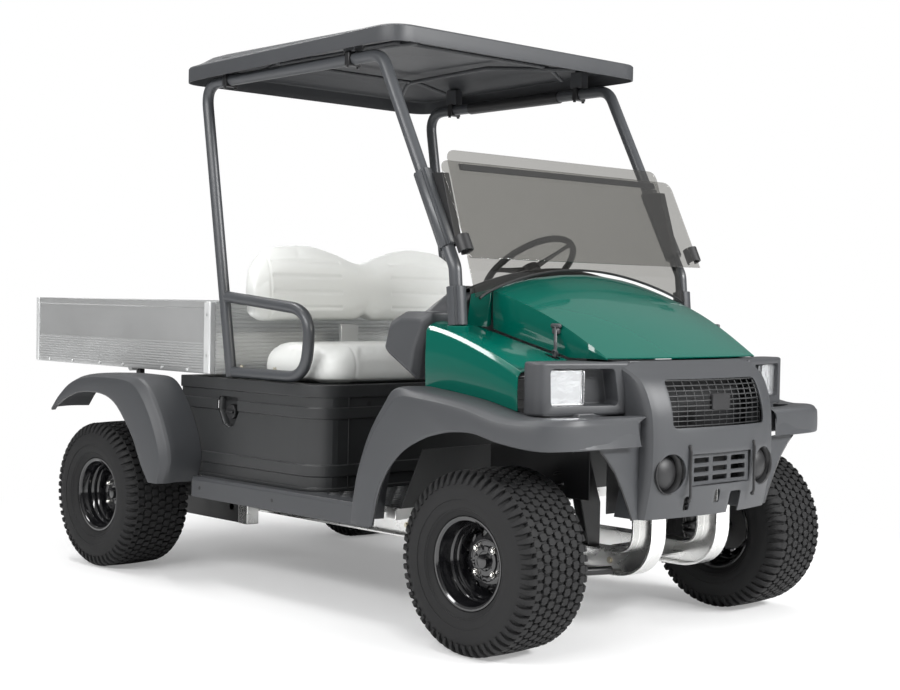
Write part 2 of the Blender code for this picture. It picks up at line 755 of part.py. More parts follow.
def build_back_bracket(steel):
    """Strap that stands on the seat body and carries the middle of the backrest."""
    z0 = SEAT_BODY_TOP_Z + SEAT_GAP
    middle = (BACK_TOP_Z - BACK_BOTTOM_Z) * BACK_MIDDLE_SHARE
    low_share, high_share = (0.2, 0.85)
    z1 = BACK_BOTTOM_Z + middle * low_share
    z2 = BACK_BOTTOM_Z + middle * high_share
    x1 = back_face_x(low_share) - SEAT_GAP
    x2 = back_face_x(high_share) - SEAT_GAP
    t = STRAP_THICK
    outline = [(x1 - t, z0), (x1, z0), (x1, z1), (x2, z2), (x2 - t, z2), (x1 - t, z1)]
    return wear(prism("back_bracket", outline, -STRAP_HALF, STRAP_HALF), steel)


def build_bed_floor(metal):
    """Ribbed bed floor with two hinge lugs below its rear."""
    z0 = BED_BOTTOM_Z
    x0 = TAIL_X + BED_WALL + SEAT_GAP
    x1 = BED_FRONT_X - BED_WALL - SEAT_GAP
    half = BED_HALF - BED_WALL - SEAT_GAP
    item = box("bed_floor", x0, x1, -half, half, z0, z0 + BED_FLOOR_THICK)
    lug = BED_HINGE_RADIUS * 2
    hinge_z = BED_BOTTOM_Z - BED_HINGE_DROP
    for side in (1, -1):
        y0, y1 = sorted((side * BED_HINGE_HALF, side * (BED_HINGE_HALF + lug)))
        leaf = box("leaf", BED_HINGE_X - lug / 2, BED_HINGE_X + lug / 2, y0, y1, hinge_z, z0 + lug / 4)
        combine(item, leaf)
        combine(item, rod("eye", (BED_HINGE_X, y0, hinge_z), (BED_HINGE_X, y1, hinge_z), BED_HINGE_RADIUS))
    return wear(item, metal)


def bed_side_section(side):
    """A side panel: top rail lip, smooth upper part and a thicker ribbed lower part."""
    y1 = BED_HALF
    wall = BED_WALL
    z0 = BED_BOTTOM_Z
    z1 = BED_TOP_Z
    lip = wall / 2
    outline = [(y1 - wall, z0), (y1, z0), (y1, z1), (y1 - wall, z1), (y1 - wall, z1 - lip),
               (y1 - lip, z1 - lip * 2), (y1 - lip, z0 + BED_FLOOR_THICK + lip), (y1 - wall, z0 + BED_FLOOR_THICK)]
    return [(u * side, v) for u, v in outline]


def build_bed_side(name, side, metal):
    x0 = TAIL_X + BED_WALL + SEAT_GAP
    x1 = BED_FRONT_X - BED_WALL - SEAT_GAP
    return wear(prism(name, bed_side_section(side), x0, x1, "X"), metal)


def build_bed_front(metal):
    """Corrugated front panel between the corner posts."""
    z0 = BED_BOTTOM_Z
    z1 = BED_TOP_Z
    ribs = 8
    depth = BED_WALL / 3
    outline = [(BED_FRONT_X - BED_WALL, z0), (BED_FRONT_X, z0)]
    pitch = (z1 - z0) / (ribs + 1)
    for i in range(1, ribs + 1):
        z = z0 + pitch * i
        quarter = pitch / 4
        outline.append((BED_FRONT_X, z - quarter))
        outline.append((BED_FRONT_X - depth, z))
        outline.append((BED_FRONT_X, z + quarter))
    outline += [(BED_FRONT_X, z1), (BED_FRONT_X - BED_WALL, z1)]
    return wear(prism("bed_front", outline, -BED_HALF, BED_HALF), metal)


def build_tailgate(metal):
    """Rear gate, hinged along its foot on a pin in front of it."""
    z0 = BED_BOTTOM_Z
    item = box("tailgate", TAIL_X, TAIL_X + BED_WALL, -BED_HALF, BED_HALF, z0, BED_TOP_Z)
    return wear(item, metal)


FENDER_FACE_SHARE = 0.30

# Front fender stations from its rear foot, over the wheel, to the fascia: the root's
# x and y, the ridge's x and z, the arch edge's x and z, and the outer face's y
FRONT_FENDER_SHARES = (
    (0.004, None, 0.000, 0.00, 0.138, 0.00, 1.00), (0.014, None, 0.007, 0.17, 0.168, 0.23, 1.00),
    (0.040, None, 0.030, 0.385, 0.220, 0.42, 1.00), (0.085, None, 0.085, 0.65, 0.300, 0.575, 1.00),
    (0.16, None, 0.160, 0.87, 0.400, 0.68, 1.00), (0.23, None, 0.230, 1.00, 0.470, 0.725, 1.00),
    (0.37, None, 0.370, 0.99, 0.550, 0.75, 1.00), (0.575, None, 0.575, 0.94, 0.650, 0.75, 0.995),
    (0.765, None, 0.765, 0.86, 0.765, 0.70, 0.985), (0.86, 0.78, 0.900, 0.86, 0.900, 0.665, 0.94),
    (0.90, 0.70, 0.970, 0.86, 0.970, 0.665, 0.82), (0.92, 0.60, 0.992, 0.86, 0.992, 0.665, 0.66),
    (0.93, 0.43, 1.000, 0.86, 1.000, 0.665, 0.47),
)

# Rear fender stations from its front foot, over the wheel, to its tail
REAR_FENDER_SHARES = (
    (0.04, None, 0.040, 0.00, 0.125, 0.00, 1.0), (0.00, None, 0.000, 0.24, 0.185, 0.16, 1.0),
    (0.04, None, 0.045, 0.52, 0.250, 0.39, 1.0), (0.13, None, 0.130, 0.80, 0.325, 0.57, 1.0),
    (0.23, None, 0.235, 0.97, 0.425, 0.74, 1.0), (0.38, None, 0.385, 1.00, 0.550, 0.81, 1.0),
    (0.64, None, 0.640, 0.99, 0.740, 0.80, 1.0), (0.80, None, 0.800, 0.93, 0.880, 0.72, 1.0),
    (0.92, None, 0.920, 0.78, 0.960, 0.64, 1.0), (1.00, None, 1.000, 0.62, 1.000, 0.58, 1.0),
)


def front_fender_x(u):
    return FRONT_FENDER_REAR_X + FRONT_FENDER_LENGTH * u


def front_fender_z(v):
    return FRONT_FENDER_FOOT_Z + FRONT_FENDER_HEIGHT * v


def front_fender_top(x):
    """Height of the front fender's upper face at a place along the car."""
    tops = [(front_fender_x(row[2]), front_fender_z(row[3])) for row in FRONT_FENDER_SHARES]
    for (x0, z0), (x1, z1) in zip(tops, tops[1:]):
        if x0 <= x <= x1:
            return between(z0, z1, (x - x0) / (x1 - x0))
    return tops[-1][1]


def fender_rows(stations, x_of, z_of, half):
    """Rows from the root on the body, over the ridge, to the lip round the wheel arch."""
    rows = []
    for root_u, root_w, top_u, top_v, low_u, low_v, out_w in stations:
        out = half * out_w
        root = (x_of(root_u), FENDER_ROOT_HALF if root_w is None else half * root_w, z_of(top_v))
        ridge = (x_of(top_u), out - FENDER_RIDGE_DROP, z_of(top_v))
        face = (x_of(between(top_u, low_u, FENDER_FACE_SHARE)), out,
                z_of(between(top_v, low_v, FENDER_FACE_SHARE)))
        low = (x_of(low_u), out, z_of(low_v))
        lip = (x_of(low_u), out - FENDER_RIDGE_DROP / 2, z_of(low_v))
        rows.append([root, ridge, face, low, lip])
    return rows


def build_front_fender(plastic):
    rows = fender_rows(FRONT_FENDER_SHARES, front_fender_x, front_fender_z, FRONT_FENDER_HALF)
    return wear(panel("front_fender_left", rows[::-1], FENDER_WALL, -1), plastic)


def build_rear_fender(plastic):
    rows = fender_rows(REAR_FENDER_SHARES, lambda u: REAR_FENDER_FRONT_X - REAR_FENDER_LENGTH * u,
                       lambda v: REAR_FENDER_FOOT_Z + REAR_FENDER_HEIGHT * v, WIDTH / 2)
    return wear(panel("rear_fender_left", rows, FENDER_WALL, -1), plastic)


def hood_point(along, across):
    """Outer surface of the hood: across runs from -1 to 1, along from its rear edge to its front."""
    bow = 1 - across * across
    rear_x = HOOD_REAR_X
    front_x = HOOD_FRONT_X - FASCIA_BOW * (1 - bow)
    x = between(rear_x, front_x, along)
    half = between(HOOD_HALF_REAR, HOOD_HALF_FRONT, along)
    sag = HOOD_CROWN * (1 - along) * (1 - bow)
    arch = HOOD_BULGE * math.sin(math.pi * along)
    z = between(HOOD_REAR_Z, HOOD_FRONT_Z, along) + arch - sag
    return Vector((x, half * across, z))


def build_hood(paint):
    """Domed hood with a turned down skirt along both sides."""
    along_shares = (0.0, 0.2, 0.4, 0.6, 0.8, 1.0)
    across_shares = (-1.0, -0.8, -0.5, 0.0, 0.5, 0.8, 1.0)
    rows = []
    for along in along_shares:
        edge = Vector((0, 0, HOOD_SKIRT * (1 - along)))
        row = [hood_point(along, across) for across in across_shares]
        if along < 1:
            row = [row[0] - edge] + row + [row[-1] - edge]
        else:
            tip = Vector((0, 0, HOOD_FRONT_Z - POD_TOP_Z - SEAT_GAP))
            row = [row[0] - tip] + row + [row[-1] - tip]
        rows.append(row)
    return wear(panel("hood", rows, HOOD_WALL, 1), paint)


def hood_half(x):
    share = min(max((x - HOOD_REAR_X) / (HOOD_FRONT_X - HOOD_REAR_X), 0), 1)
    return between(HOOD_HALF_REAR, HOOD_HALF_FRONT, share) + MOVE_GAP + COWL_WALL, share


def build_cowl(paint):
    """Green front body: both side panels, joined by a bridge behind the hood, with the posts' pads."""
    stations = [COWL_REAR_X]
    stations += [front_fender_x(row[2]) for row in FRONT_FENDER_SHARES
                 if COWL_REAR_X < front_fender_x(row[2]) < COWL_FRONT_X]
    stations.append(COWL_FRONT_X)
    rows = []
    for x in stations:
        along = (x - COWL_REAR_X) / (COWL_FRONT_X - COWL_REAR_X)
        crease = between(COWL_CREASE_REAR_Z, COWL_CREASE_FRONT_Z, along ** COWL_CURVE_SHARE)
        half, share = hood_half(x)
        shelf = between(HOOD_REAR_Z - HOOD_CROWN, HOOD_FRONT_Z, share) - HOOD_SKIRT * (1 - share)
        rows.append([(x, COWL_HALF, front_fender_top(x) + SEAT_GAP), (x, COWL_HALF, crease - COWL_FOOT_DROP),
                     (x, COWL_HALF - COWL_FOOT_DROP, crease),
                     (x, between(COWL_HALF, half, 0.4), between(crease, shelf, 0.5) + COWL_FOOT_DROP * (1 - along)),
                     (x, half, shelf)])
    item = panel("cowl", rows, COWL_WALL, 1)
    combine(item, mirrored(item, "side"))
    half, share = hood_half(HOOD_REAR_X)
    low = HOOD_REAR_Z - HOOD_CROWN - HOOD_SKIRT - COWL_WALL
    inner = hood_half(HOOD_REAR_X)[0] - COWL_WALL
    outline = [(half + COWL_WALL / 2, low), (half + COWL_WALL / 2, HOOD_REAR_Z - HOOD_CROWN)]
    outline += [(hood_point(0, w).y, hood_point(0, w).z) for w in (0.9, 0.5, 0.0, -0.5, -0.9)]
    outline += [(-half - COWL_WALL / 2, HOOD_REAR_Z - HOOD_CROWN), (-half - COWL_WALL / 2, low),
                (-inner, low), (-inner, HOOD_REAR_Z - HOOD_CROWN - BRIDGE_DEPTH)]
    outline += [(hood_point(0, w).y, hood_point(0, w).z - BRIDGE_DEPTH) for w in (-0.8, -0.5, 0.0, 0.5, 0.8)]
    outline += [(inner, HOOD_REAR_Z - HOOD_CROWN - BRIDGE_DEPTH), (inner, low)]
    front = HOOD_REAR_X - HOOD_WALL / 2 - SEAT_GAP
    combine(item, prism("bridge", outline, front - BRIDGE_DEPTH, front, "X"))
    for side in (1, -1):
        top = POST_FOOT_Z - SEAT_GAP
        combine(item, rod("pad", (POST_FOOT_X, side * HOOP_HALF, top - SLEEVE_RADIUS * 2),
                          (POST_FOOT_X, side * HOOP_HALF, top), SLEEVE_RADIUS + COWL_WALL, 10))
    return wear(item, paint)


def fascia_ring(z, nose_x, half):
    """Plan line of the fascia at one height, from the left rear edge round to the right one."""
    across_shares = (1.0, 1.0, 0.93, 0.6, 0.0, -0.6, -0.93, -1.0, -1.0)
    drop_shares = (1.0, 0.28, 0.0, 0.0, 0.0, 0.0, 0.0, 0.28, 1.0)
    row = []
    for across, back in zip(across_shares, drop_shares):
        bow = FASCIA_BOW * across * across
        row.append((nose_x - bow - FASCIA_SIDE_DEPTH * back, half * across, z))
    return row


def build_fascia(plastic):
    """Nose moulding: bowed centre, lamp pods at both ends and valances below the fenders."""
    set_back_shares = ((0.0, 0.22, 1.0), (0.30, 0.0, 1.0), (0.58, 0.0, 1.0), (0.88, 0.36, 1.03), (1.0, 1.0, 1.10))
    rows = []
    for height, back, wide in set_back_shares:
        nose = NOSE_X - (NOSE_X - HOOD_FRONT_X - MOVE_GAP) * back
        rows.append(fascia_ring(between(FASCIA_BOTTOM_Z, FASCIA_TOP_Z, height), nose, FASCIA_HALF * wide))
    item = panel("fascia", rows, FASCIA_WALL, 1)
    for side in (1, -1):
        combine(item, build_pod(side))
        combine(item, build_valance(side))
    for side in (1, -1):
        inner = RAIL_HALF_SPACING - RAIL_WIDTH / 3
        outer = RAIL_HALF_SPACING + RAIL_WIDTH / 3
        y0, y1 = sorted((side * inner, side * outer))
        z1 = RAIL_TOP_Z - SEAT_GAP
        z0 = z1 - OUTRIGGER_SIZE
        nose = NOSE_X - FASCIA_BOW * (outer / FASCIA_HALF) ** 2 - FASCIA_FOOT_RAKE - FASCIA_WALL / 2
        combine(item, box("lug", RAIL_FRONT_X + SEAT_GAP, nose, y0, y1, z0, z1))
    over = OVERRUN * 2
    cut(item, box("grille_hole", NOSE_X - FASCIA_SIDE_DEPTH, NOSE_X + over, -GRILLE_HALF, GRILLE_HALF,
                  GRILLE_BOTTOM_Z, GRILLE_TOP_Z))
    cut(item, box("plate_hole", NOSE_X - FASCIA_SIDE_DEPTH, NOSE_X + over, -SLOT_PLATE_HALF, SLOT_PLATE_HALF,
                  SLOT_PLATE_BOTTOM_Z, SLOT_PLATE_TOP_Z))
    for side in (1, -1):
        cut(item, rod("recess", (NOSE_X - FASCIA_SIDE_DEPTH, side * RECESS_Y, RECESS_Z),
                      (NOSE_X + over, side * RECESS_Y, RECESS_Z), RECESS_RADIUS, 16))
    return wear(item, plastic)


def build_pod(side):
    """Lamp pod: a housing open to the rear with the lamp's recess cut into its face."""
    outline = [(POD_REAR_X, POD_INNER_HALF), (POD_REAR_X, POD_HALF), (POD_SIDE_X - POD_BORDER, POD_HALF),
               (POD_SIDE_X, POD_HALF - POD_BORDER), (POD_FRONT_X, FASCIA_HALF), (POD_FRONT_X, POD_INNER_HALF)]
    outline = [(x, y * side) for x, y in outline]
    pod = prism("pod", outline, POD_BOTTOM_Z, POD_TOP_Z, "Z")
    y0, y1 = sorted((side * (FASCIA_HALF + POD_BORDER * 2), side * (POD_HALF - POD_BORDER * 1.5)))
    cut(pod, box("lamp_recess", POD_SIDE_X - LAMP_DEPTH, POD_FRONT_X + OVERRUN, y0, y1,
                 POD_BOTTOM_Z + POD_BORDER, POD_TOP_Z - POD_BORDER))
    return pod


def build_valance(side):
    """Panel below the fender band, cut away for the tyre."""
    shape_shares = ((0.60, 0.0), (0.68, 0.0), (0.80, 0.40), (0.94, 0.85), (1.0, 1.0), (0.60, 1.0))
    top = FRONT_FENDER_FOOT_Z + FRONT_FENDER_HEIGHT * 0.665 - SEAT_GAP - FENDER_WALL
    outline = [(VALANCE_HALF * w * side, between(FASCIA_BOTTOM_Z, top, h)) for w, h in shape_shares]
    x = FRONT_FENDER_REAR_X + FRONT_FENDER_LENGTH * 0.96
    return prism("valance", outline, x, x + FASCIA_WALL, "X")


def build_grille(plastic):
    """Mesh of bars set in the upper opening, with a bare name plate."""
    x = NOSE_X - FASCIA_BOW * 1.6
    gap = SEAT_GAP
    y1 = GRILLE_HALF - gap
    z0 = GRILLE_BOTTOM_Z + gap
    z1 = GRILLE_TOP_Z - gap
    item = box("grille_mesh", x - GRILLE_BAR, x, -y1, y1, z0, z1)
    width = (2 * y1 - GRILLE_BAR) / GRILLE_COLUMNS
    height = (z1 - z0 - GRILLE_BAR) / GRILLE_ROWS
    for i in range(GRILLE_COLUMNS):
        for j in range(GRILLE_ROWS):
            if j in (2, 3) and i in (4, 5):
                continue
            left = -y1 + GRILLE_BAR + width * i
            low = z0 + GRILLE_BAR + height * j
            hole = box("hole", x - GRILLE_BAR * 2, x + GRILLE_BAR, left, left + width - GRILLE_BAR,
                       low, low + height - GRILLE_BAR)
            cut(item, hole)
    return wear(item, plastic)


def build_slot_plate(plastic):
    """Lower plate with three by three slots."""
    x = NOSE_X - FASCIA_BOW / 2
    gap = SEAT_GAP
    y1 = SLOT_PLATE_HALF - gap
    z0 = SLOT_PLATE_BOTTOM_Z + gap
    z1 = SLOT_PLATE_TOP_Z - gap
    item = box("slot_plate", x - SLOT_PLATE_THICK, x, -y1, y1, z0, z1)
    width = 2 * y1 / 3
    height = (z1 - z0) / 3
    for i in range(3):
        for j in range(3):
            left = -y1 + width * (i + 0.12)
            low = z0 + height * (j + 0.25)
            cut(item, box("slot", x - SLOT_PLATE_THICK * 2, x + SLOT_PLATE_THICK, left, left + width * 0.76,
                          low, low + height * 0.5))
    return wear(item, plastic)


def build_headlamp(glass):
    """Left lamp: a rectangular body with a clear face at the outer end of the recess."""
    y1 = POD_HALF - POD_BORDER * 1.5 - SEAT_GAP
    y0 = y1 - LAMP_WIDTH
    z0 = POD_BOTTOM_Z + POD_BORDER + SEAT_GAP
    z1 = POD_TOP_Z - POD_BORDER - SEAT_GAP
    x0 = POD_SIDE_X - LAMP_DEPTH + SEAT_GAP
    outline = [(x0, y0), (POD_SIDE_X + LAMP_DEPTH / 2, y0), (POD_SIDE_X - POD_BORDER / 2, y1), (x0, y1)]
    return wear(prism("headlamp_left", outline, z0, z1, "Z"), glass)


def build_dash(plastic):
    """Dash housing with a raised middle, rounded end pods and a bore for the steering column."""
    across_shares = ((-1.0, 0.0, 0.75), (-0.96, 0.0, 1.0), (-0.80, 0.0, 1.0), (-0.66, 0.7, 1.0), (-0.3, 0.95, 1.0),
                     (0.0, 1.0, 1.0), (0.3, 0.95, 1.0), (0.66, 0.7, 1.0), (0.80, 0.0, 1.0), (0.96, 0.0, 1.0),
                     (1.0, 0.0, 0.75))
    section_shares = ((0.0, 0.45), (0.12, 0.85), (0.45, 1.0), (1.0, 1.0), (1.0, 0.9), (0.80, 0.45), (0.72, 0.0),
                      (0.10, 0.36))
    depth = DASH_FRONT_X - DASH_REAR_X
    rings = []
    for across, crown, size in across_shares:
        top = DASH_TOP_Z + DASH_CROWN * crown
        mid_z = (DASH_BOTTOM_Z + top) / 2
        mid_x = (DASH_REAR_X + DASH_FRONT_X) / 2
        ring = []
        for u, v in section_shares:
            x = DASH_REAR_X + depth * u
            z = between(DASH_BOTTOM_Z, top, v)
            ring.append((between(mid_x, x, size), DASH_HALF * across, between(mid_z, z, size)))
        rings.append(ring)
    item = loft("dash", rings)
    foot, top = column_ends()
    along = (top - foot).normalized()
    cut(item, rod("column_bore", foot - along * SEAT_GAP, top, COLUMN_RADIUS + BORE_GAP))
    return wear(item, plastic)


def post_x(z):
    """Centre of the front post above its knee."""
    return POST_KNEE_X + (POST_TOP_X - POST_KNEE_X) * (z - POST_KNEE_Z) / (POST_TOP_Z - POST_KNEE_Z)


def pane_back_x(z):
    """Rear face of the lower pane."""
    return PANE_FOOT_X + (PANE_TOP_X - PANE_FOOT_X) * (z - PANE_FOOT_Z) / (PANE_TOP_Z - PANE_FOOT_Z)


def fold_back_x(z):
    """Rear face of the folded upper pane."""
    return FOLD_FOOT_X + (FOLD_TOP_X - FOLD_FOOT_X) * (z - FOLD_FOOT_Z) / (FOLD_TOP_Z - FOLD_FOOT_Z)


def build_hoop(steel):
    """Left hoop: post in its sleeves, roof bar and rear post, all one bent tube."""
    y = HOOP_HALF
    foot_z = POST_FOOT_Z - TUBE_RADIUS
    path = bend([(POST_FOOT_X, y, foot_z), (POST_KNEE_X, y, POST_KNEE_Z), (POST_TOP_X, y, POST_TOP_Z),
                 (REAR_POST_TOP_X, y, REAR_POST_TOP_Z), (REAR_POST_X, y, REAR_POST_Z)], HOOP_BEND, 3)
    item = tube("hoop_left", path, TUBE_RADIUS)
    low = rod("sleeve", (POST_FOOT_X, y, foot_z), (between(POST_FOOT_X, POST_KNEE_X, 0.7), y,
              between(foot_z, POST_KNEE_Z, 0.7)), SLEEVE_RADIUS, 10)
    combine(item, low)
    z0 = POST_KNEE_Z + TUBE_RADIUS * 3
    z1 = z0 + SLEEVE_LENGTH
    combine(item, rod("sleeve", (post_x(z0), y, z0), (post_x(z1), y, z1), SLEEVE_RADIUS, 10))
    wedge = [(post_x(z0), z0), (pane_back_x(z0) - SEAT_GAP, z0), (pane_back_x(z1) - SEAT_GAP, z1), (post_x(z1), z1)]
    combine(item, prism("wedge", wedge, PANE_HALF - SLEEVE_RADIUS, y))
    wide = SLEEVE_RADIUS * 2
    cut(item, box("foot", POST_FOOT_X - wide, POST_FOOT_X + wide, y - wide, y + wide, foot_z - wide, POST_FOOT_Z))
    return wear(item, steel)


def rear_post_x(z):
    return REAR_POST_X + REAR_POST_LEAN * (z - REAR_POST_Z)


def build_hip_loop(steel):
    """Left hip restraint: a bent tube whose ends fit against the rear post."""
    y = HOOP_HALF
    bottom = SEAT_BODY_TOP_Z + TUBE_RADIUS + SEAT_GAP
    top = bottom + LOOP_HEIGHT
    reach = REAR_POST_X + LOOP_REACH
    path = bend([(rear_post_x(top), y, top), (reach + TUBE_RADIUS, y, top - TUBE_RADIUS * 2), (reach, y, bottom),
                 (rear_post_x(bottom), y, bottom)], LOOP_HEIGHT * 0.38, 5)
    item = tube("hip_loop_left", path, TUBE_RADIUS)
    over = TUBE_RADIUS * 3
    post = rod("post", (rear_post_x(bottom - over), y, bottom - over), (rear_post_x(top + over), y, top + over),
               TUBE_RADIUS * 1.03 + SEAT_GAP, TUBE_SEGMENTS * 2)
    cut(item, post)
    behind = REAR_POST_X - TUBE_RADIUS * 4
    cut(item, prism("behind", [(behind, bottom - over), (rear_post_x(bottom - over), bottom - over),
                               (rear_post_x(top + over), top + over), (behind, top + over)],
                    y - over, y + over))
    return wear(item, steel)


def canopy_height(x):
    share = (x - CANOPY_REAR_X) / (CANOPY_FRONT_X - CANOPY_REAR_X)
    return between(CANOPY_REAR_Z, CANOPY_FRONT_Z, share)


# Rings of the roof: how far inward, how far up the lip, how far up the crown
CANOPY_RING_SHARES = ((0.0, 0.0, 0.0), (0.0, 1.0, 0.0), (0.06, 1.0, 0.25), (0.16, 1.0, 0.7), (0.45, 1.0, 0.95),
                      (0.80, 1.0, 1.0))


def roof_top(x, y):
    """Height of the roof's outer face at a place on its sides."""
    inward = 1 - abs(y) / CANOPY_HALF
    rings = CANOPY_RING_SHARES[1:]
    for low, high in zip(rings, rings[1:]):
        if low[0] <= inward <= high[0]:
            rise = between(low[2], high[2], (inward - low[0]) / (high[0] - low[0]))
            return between(canopy_height(x), HEIGHT - CANOPY_LIP, rise) + CANOPY_LIP
    return HEIGHT


def roof_bar_top(x):
    """Upper flat of the hoop's roof bar."""
    share = (x - REAR_POST_TOP_X) / (POST_TOP_X - REAR_POST_TOP_X)
    lean = math.atan2(POST_TOP_Z - REAR_POST_TOP_Z, POST_TOP_X - REAR_POST_TOP_X)
    centre = between(REAR_POST_TOP_Z, POST_TOP_Z, share)
    return centre + TUBE_RADIUS * math.cos(math.pi / TUBE_SEGMENTS) / math.cos(lean)


def build_canopy_boss(x, side):
    """A moulded foot below the roof that the hoop's bar is clamped to."""
    half = BOSS_LENGTH / 2
    y0, y1 = sorted((side * (HOOP_HALF - TUBE_RADIUS), side * (HOOP_HALF + TUBE_RADIUS)))
    rings = []
    for y in (y0, y1):
        top = [(u, y, roof_top(u, y) - CANOPY_WALL / 2) for u in (x + half, x - half)]
        rings.append([(x - half, y, roof_bar_top(x - half) + SEAT_GAP),
                      (x + half, y, roof_bar_top(x + half) + SEAT_GAP)] + top)
    return loft("boss", rings)


def build_canopy(plastic):
    """Moulded roof: a lip round the edge, a raised crown and feet on the hoops' bars."""
    mid_x = (CANOPY_REAR_X + CANOPY_FRONT_X) / 2
    plan = rounded(CANOPY_REAR_X, CANOPY_FRONT_X, CANOPY_HALF, CANOPY_CORNER, CANOPY_CORNER, 3)
    rings = []
    for inward, lip, rise in CANOPY_RING_SHARES:
        ring = []
        for x, y in plan:
            u = between(x, mid_x, inward)
            flat = between(canopy_height(u), HEIGHT - CANOPY_LIP, rise)
            ring.append(Vector((u, y * (1 - inward), flat + CANOPY_LIP * lip)))
        rings.append(ring)
    count = len(plan)
    verts = [point for ring in rings for point in ring]
    faces = []
    for i in range(len(rings) - 1):
        for j in range(count):
            k = (j + 1) % count
            faces.append((i * count + j, i * count + k, (i + 1) * count + k, (i + 1) * count + j))
    last = (len(rings) - 1) * count
    faces.append(tuple(range(last, last + count)))
    item = mesh_object("canopy", verts, faces)
    thick = item.modifiers.new("wall", "SOLIDIFY")
    thick.thickness = CANOPY_WALL
    thick.offset = -1
    thick.use_even_offset = True
    face_out(bake(item))
    for x in (between(REAR_POST_TOP_X, POST_TOP_X, 0.15), between(REAR_POST_TOP_X, POST_TOP_X, 0.85)):
        for side in (1, -1):
            combine(item, build_canopy_boss(x, side))
    return wear(item, plastic)


def build_pane(name, foot, top, half, arch, glass):
    """Flat pane with round top corners; an arch is cut along its foot over the hood."""
    rise = Vector((top[0] - foot[0], 0, top[1] - foot[1]))
    tall = rise.length
    up = rise.normalized()
    normal = Vector((up.z, 0, -up.x))
    r = PANE_CORNER
    quarter_shares = (0.0, 0.33, 0.67, 1.0)
    right = [(half, 0), (half, tall - r)]
    right += [(half - r + r * math.cos(math.pi / 2 * q), tall - r + r * math.sin(math.pi / 2 * q))
              for q in quarter_shares]
    left = [(-u, v) for u, v in reversed(right)]
    outline = right + left
    if arch:
        arch_shares = ((-0.85, 0.25), (-0.6, 0.6), (-0.25, 0.95), (0.25, 0.95), (0.6, 0.6), (0.85, 0.25))
        outline += [(half * w, arch * h) for w, h in arch_shares]
    rings = []
    for depth in (0, PANE_THICK):
        rings.append([Vector((foot[0], u, foot[1])) + up * v + normal * depth for u, v in outline])
    return wear(loft(name, rings), glass)


def build_folded_pane(glass):
    """Upper pane folded down in front, with the hinge strip that joins it to the lower one."""
    item = build_pane("windscreen_upper", (FOLD_FOOT_X, FOLD_FOOT_Z), (FOLD_TOP_X, FOLD_TOP_Z), FOLD_HALF, 0, glass)
    z1 = FOLD_TOP_Z - PANE_THICK
    z0 = z1 - HINGE_STRIP
    lean = (PANE_FOOT_X - PANE_TOP_X) / (PANE_TOP_Z - PANE_FOOT_Z)
    front = PANE_THICK * math.hypot(1, lean) + SEAT_GAP
    outline = [(pane_back_x(z0) + front, z0), (fold_back_x(z0) + PANE_THICK / 2, z0),
               (fold_back_x(z1) + PANE_THICK / 2, z1), (pane_back_x(z1) + front, z1)]
    combine(item, prism("strip", outline, -PANE_HALF + PANE_CORNER, PANE_HALF - PANE_CORNER))
    return wear(item, glass)


def build_suspension(metal):
    """Left lower arm with the coil-over unit standing on it, fused where it is pinned."""
    x = FRONT_AXLE_X
    root = RAIL_HALF_SPACING + RAIL_WIDTH / 2 + SEAT_GAP
    tip = KINGPIN_HALF
    low = ARM_Z - ARM_THICK / 2
    high = ARM_Z + ARM_THICK / 2
    outline = [(x - ARM_ROOT_HALF, root), (x - ARM_ROOT_HALF + ARM_THICK, root), (x, tip - ARM_THICK * 3),
               (x + ARM_ROOT_HALF - ARM_THICK, root), (x + ARM_ROOT_HALF, root),
               (x + ARM_TIP_HALF, tip - ARM_THICK), (x + ARM_TIP_HALF / 2, tip),
               (x - ARM_TIP_HALF / 2, tip), (x - ARM_TIP_HALF, tip - ARM_THICK)]
    item = prism("suspension_left", outline, low, high, "Z")
    foot = (x, SHOCK_FOOT_Y, ARM_Z)
    head = (x, SHOCK_TOP_Y, SHOCK_TOP_Z)
    combine(item, rod("spring", foot, head, SHOCK_RADIUS, 10))
    return wear(item, metal)


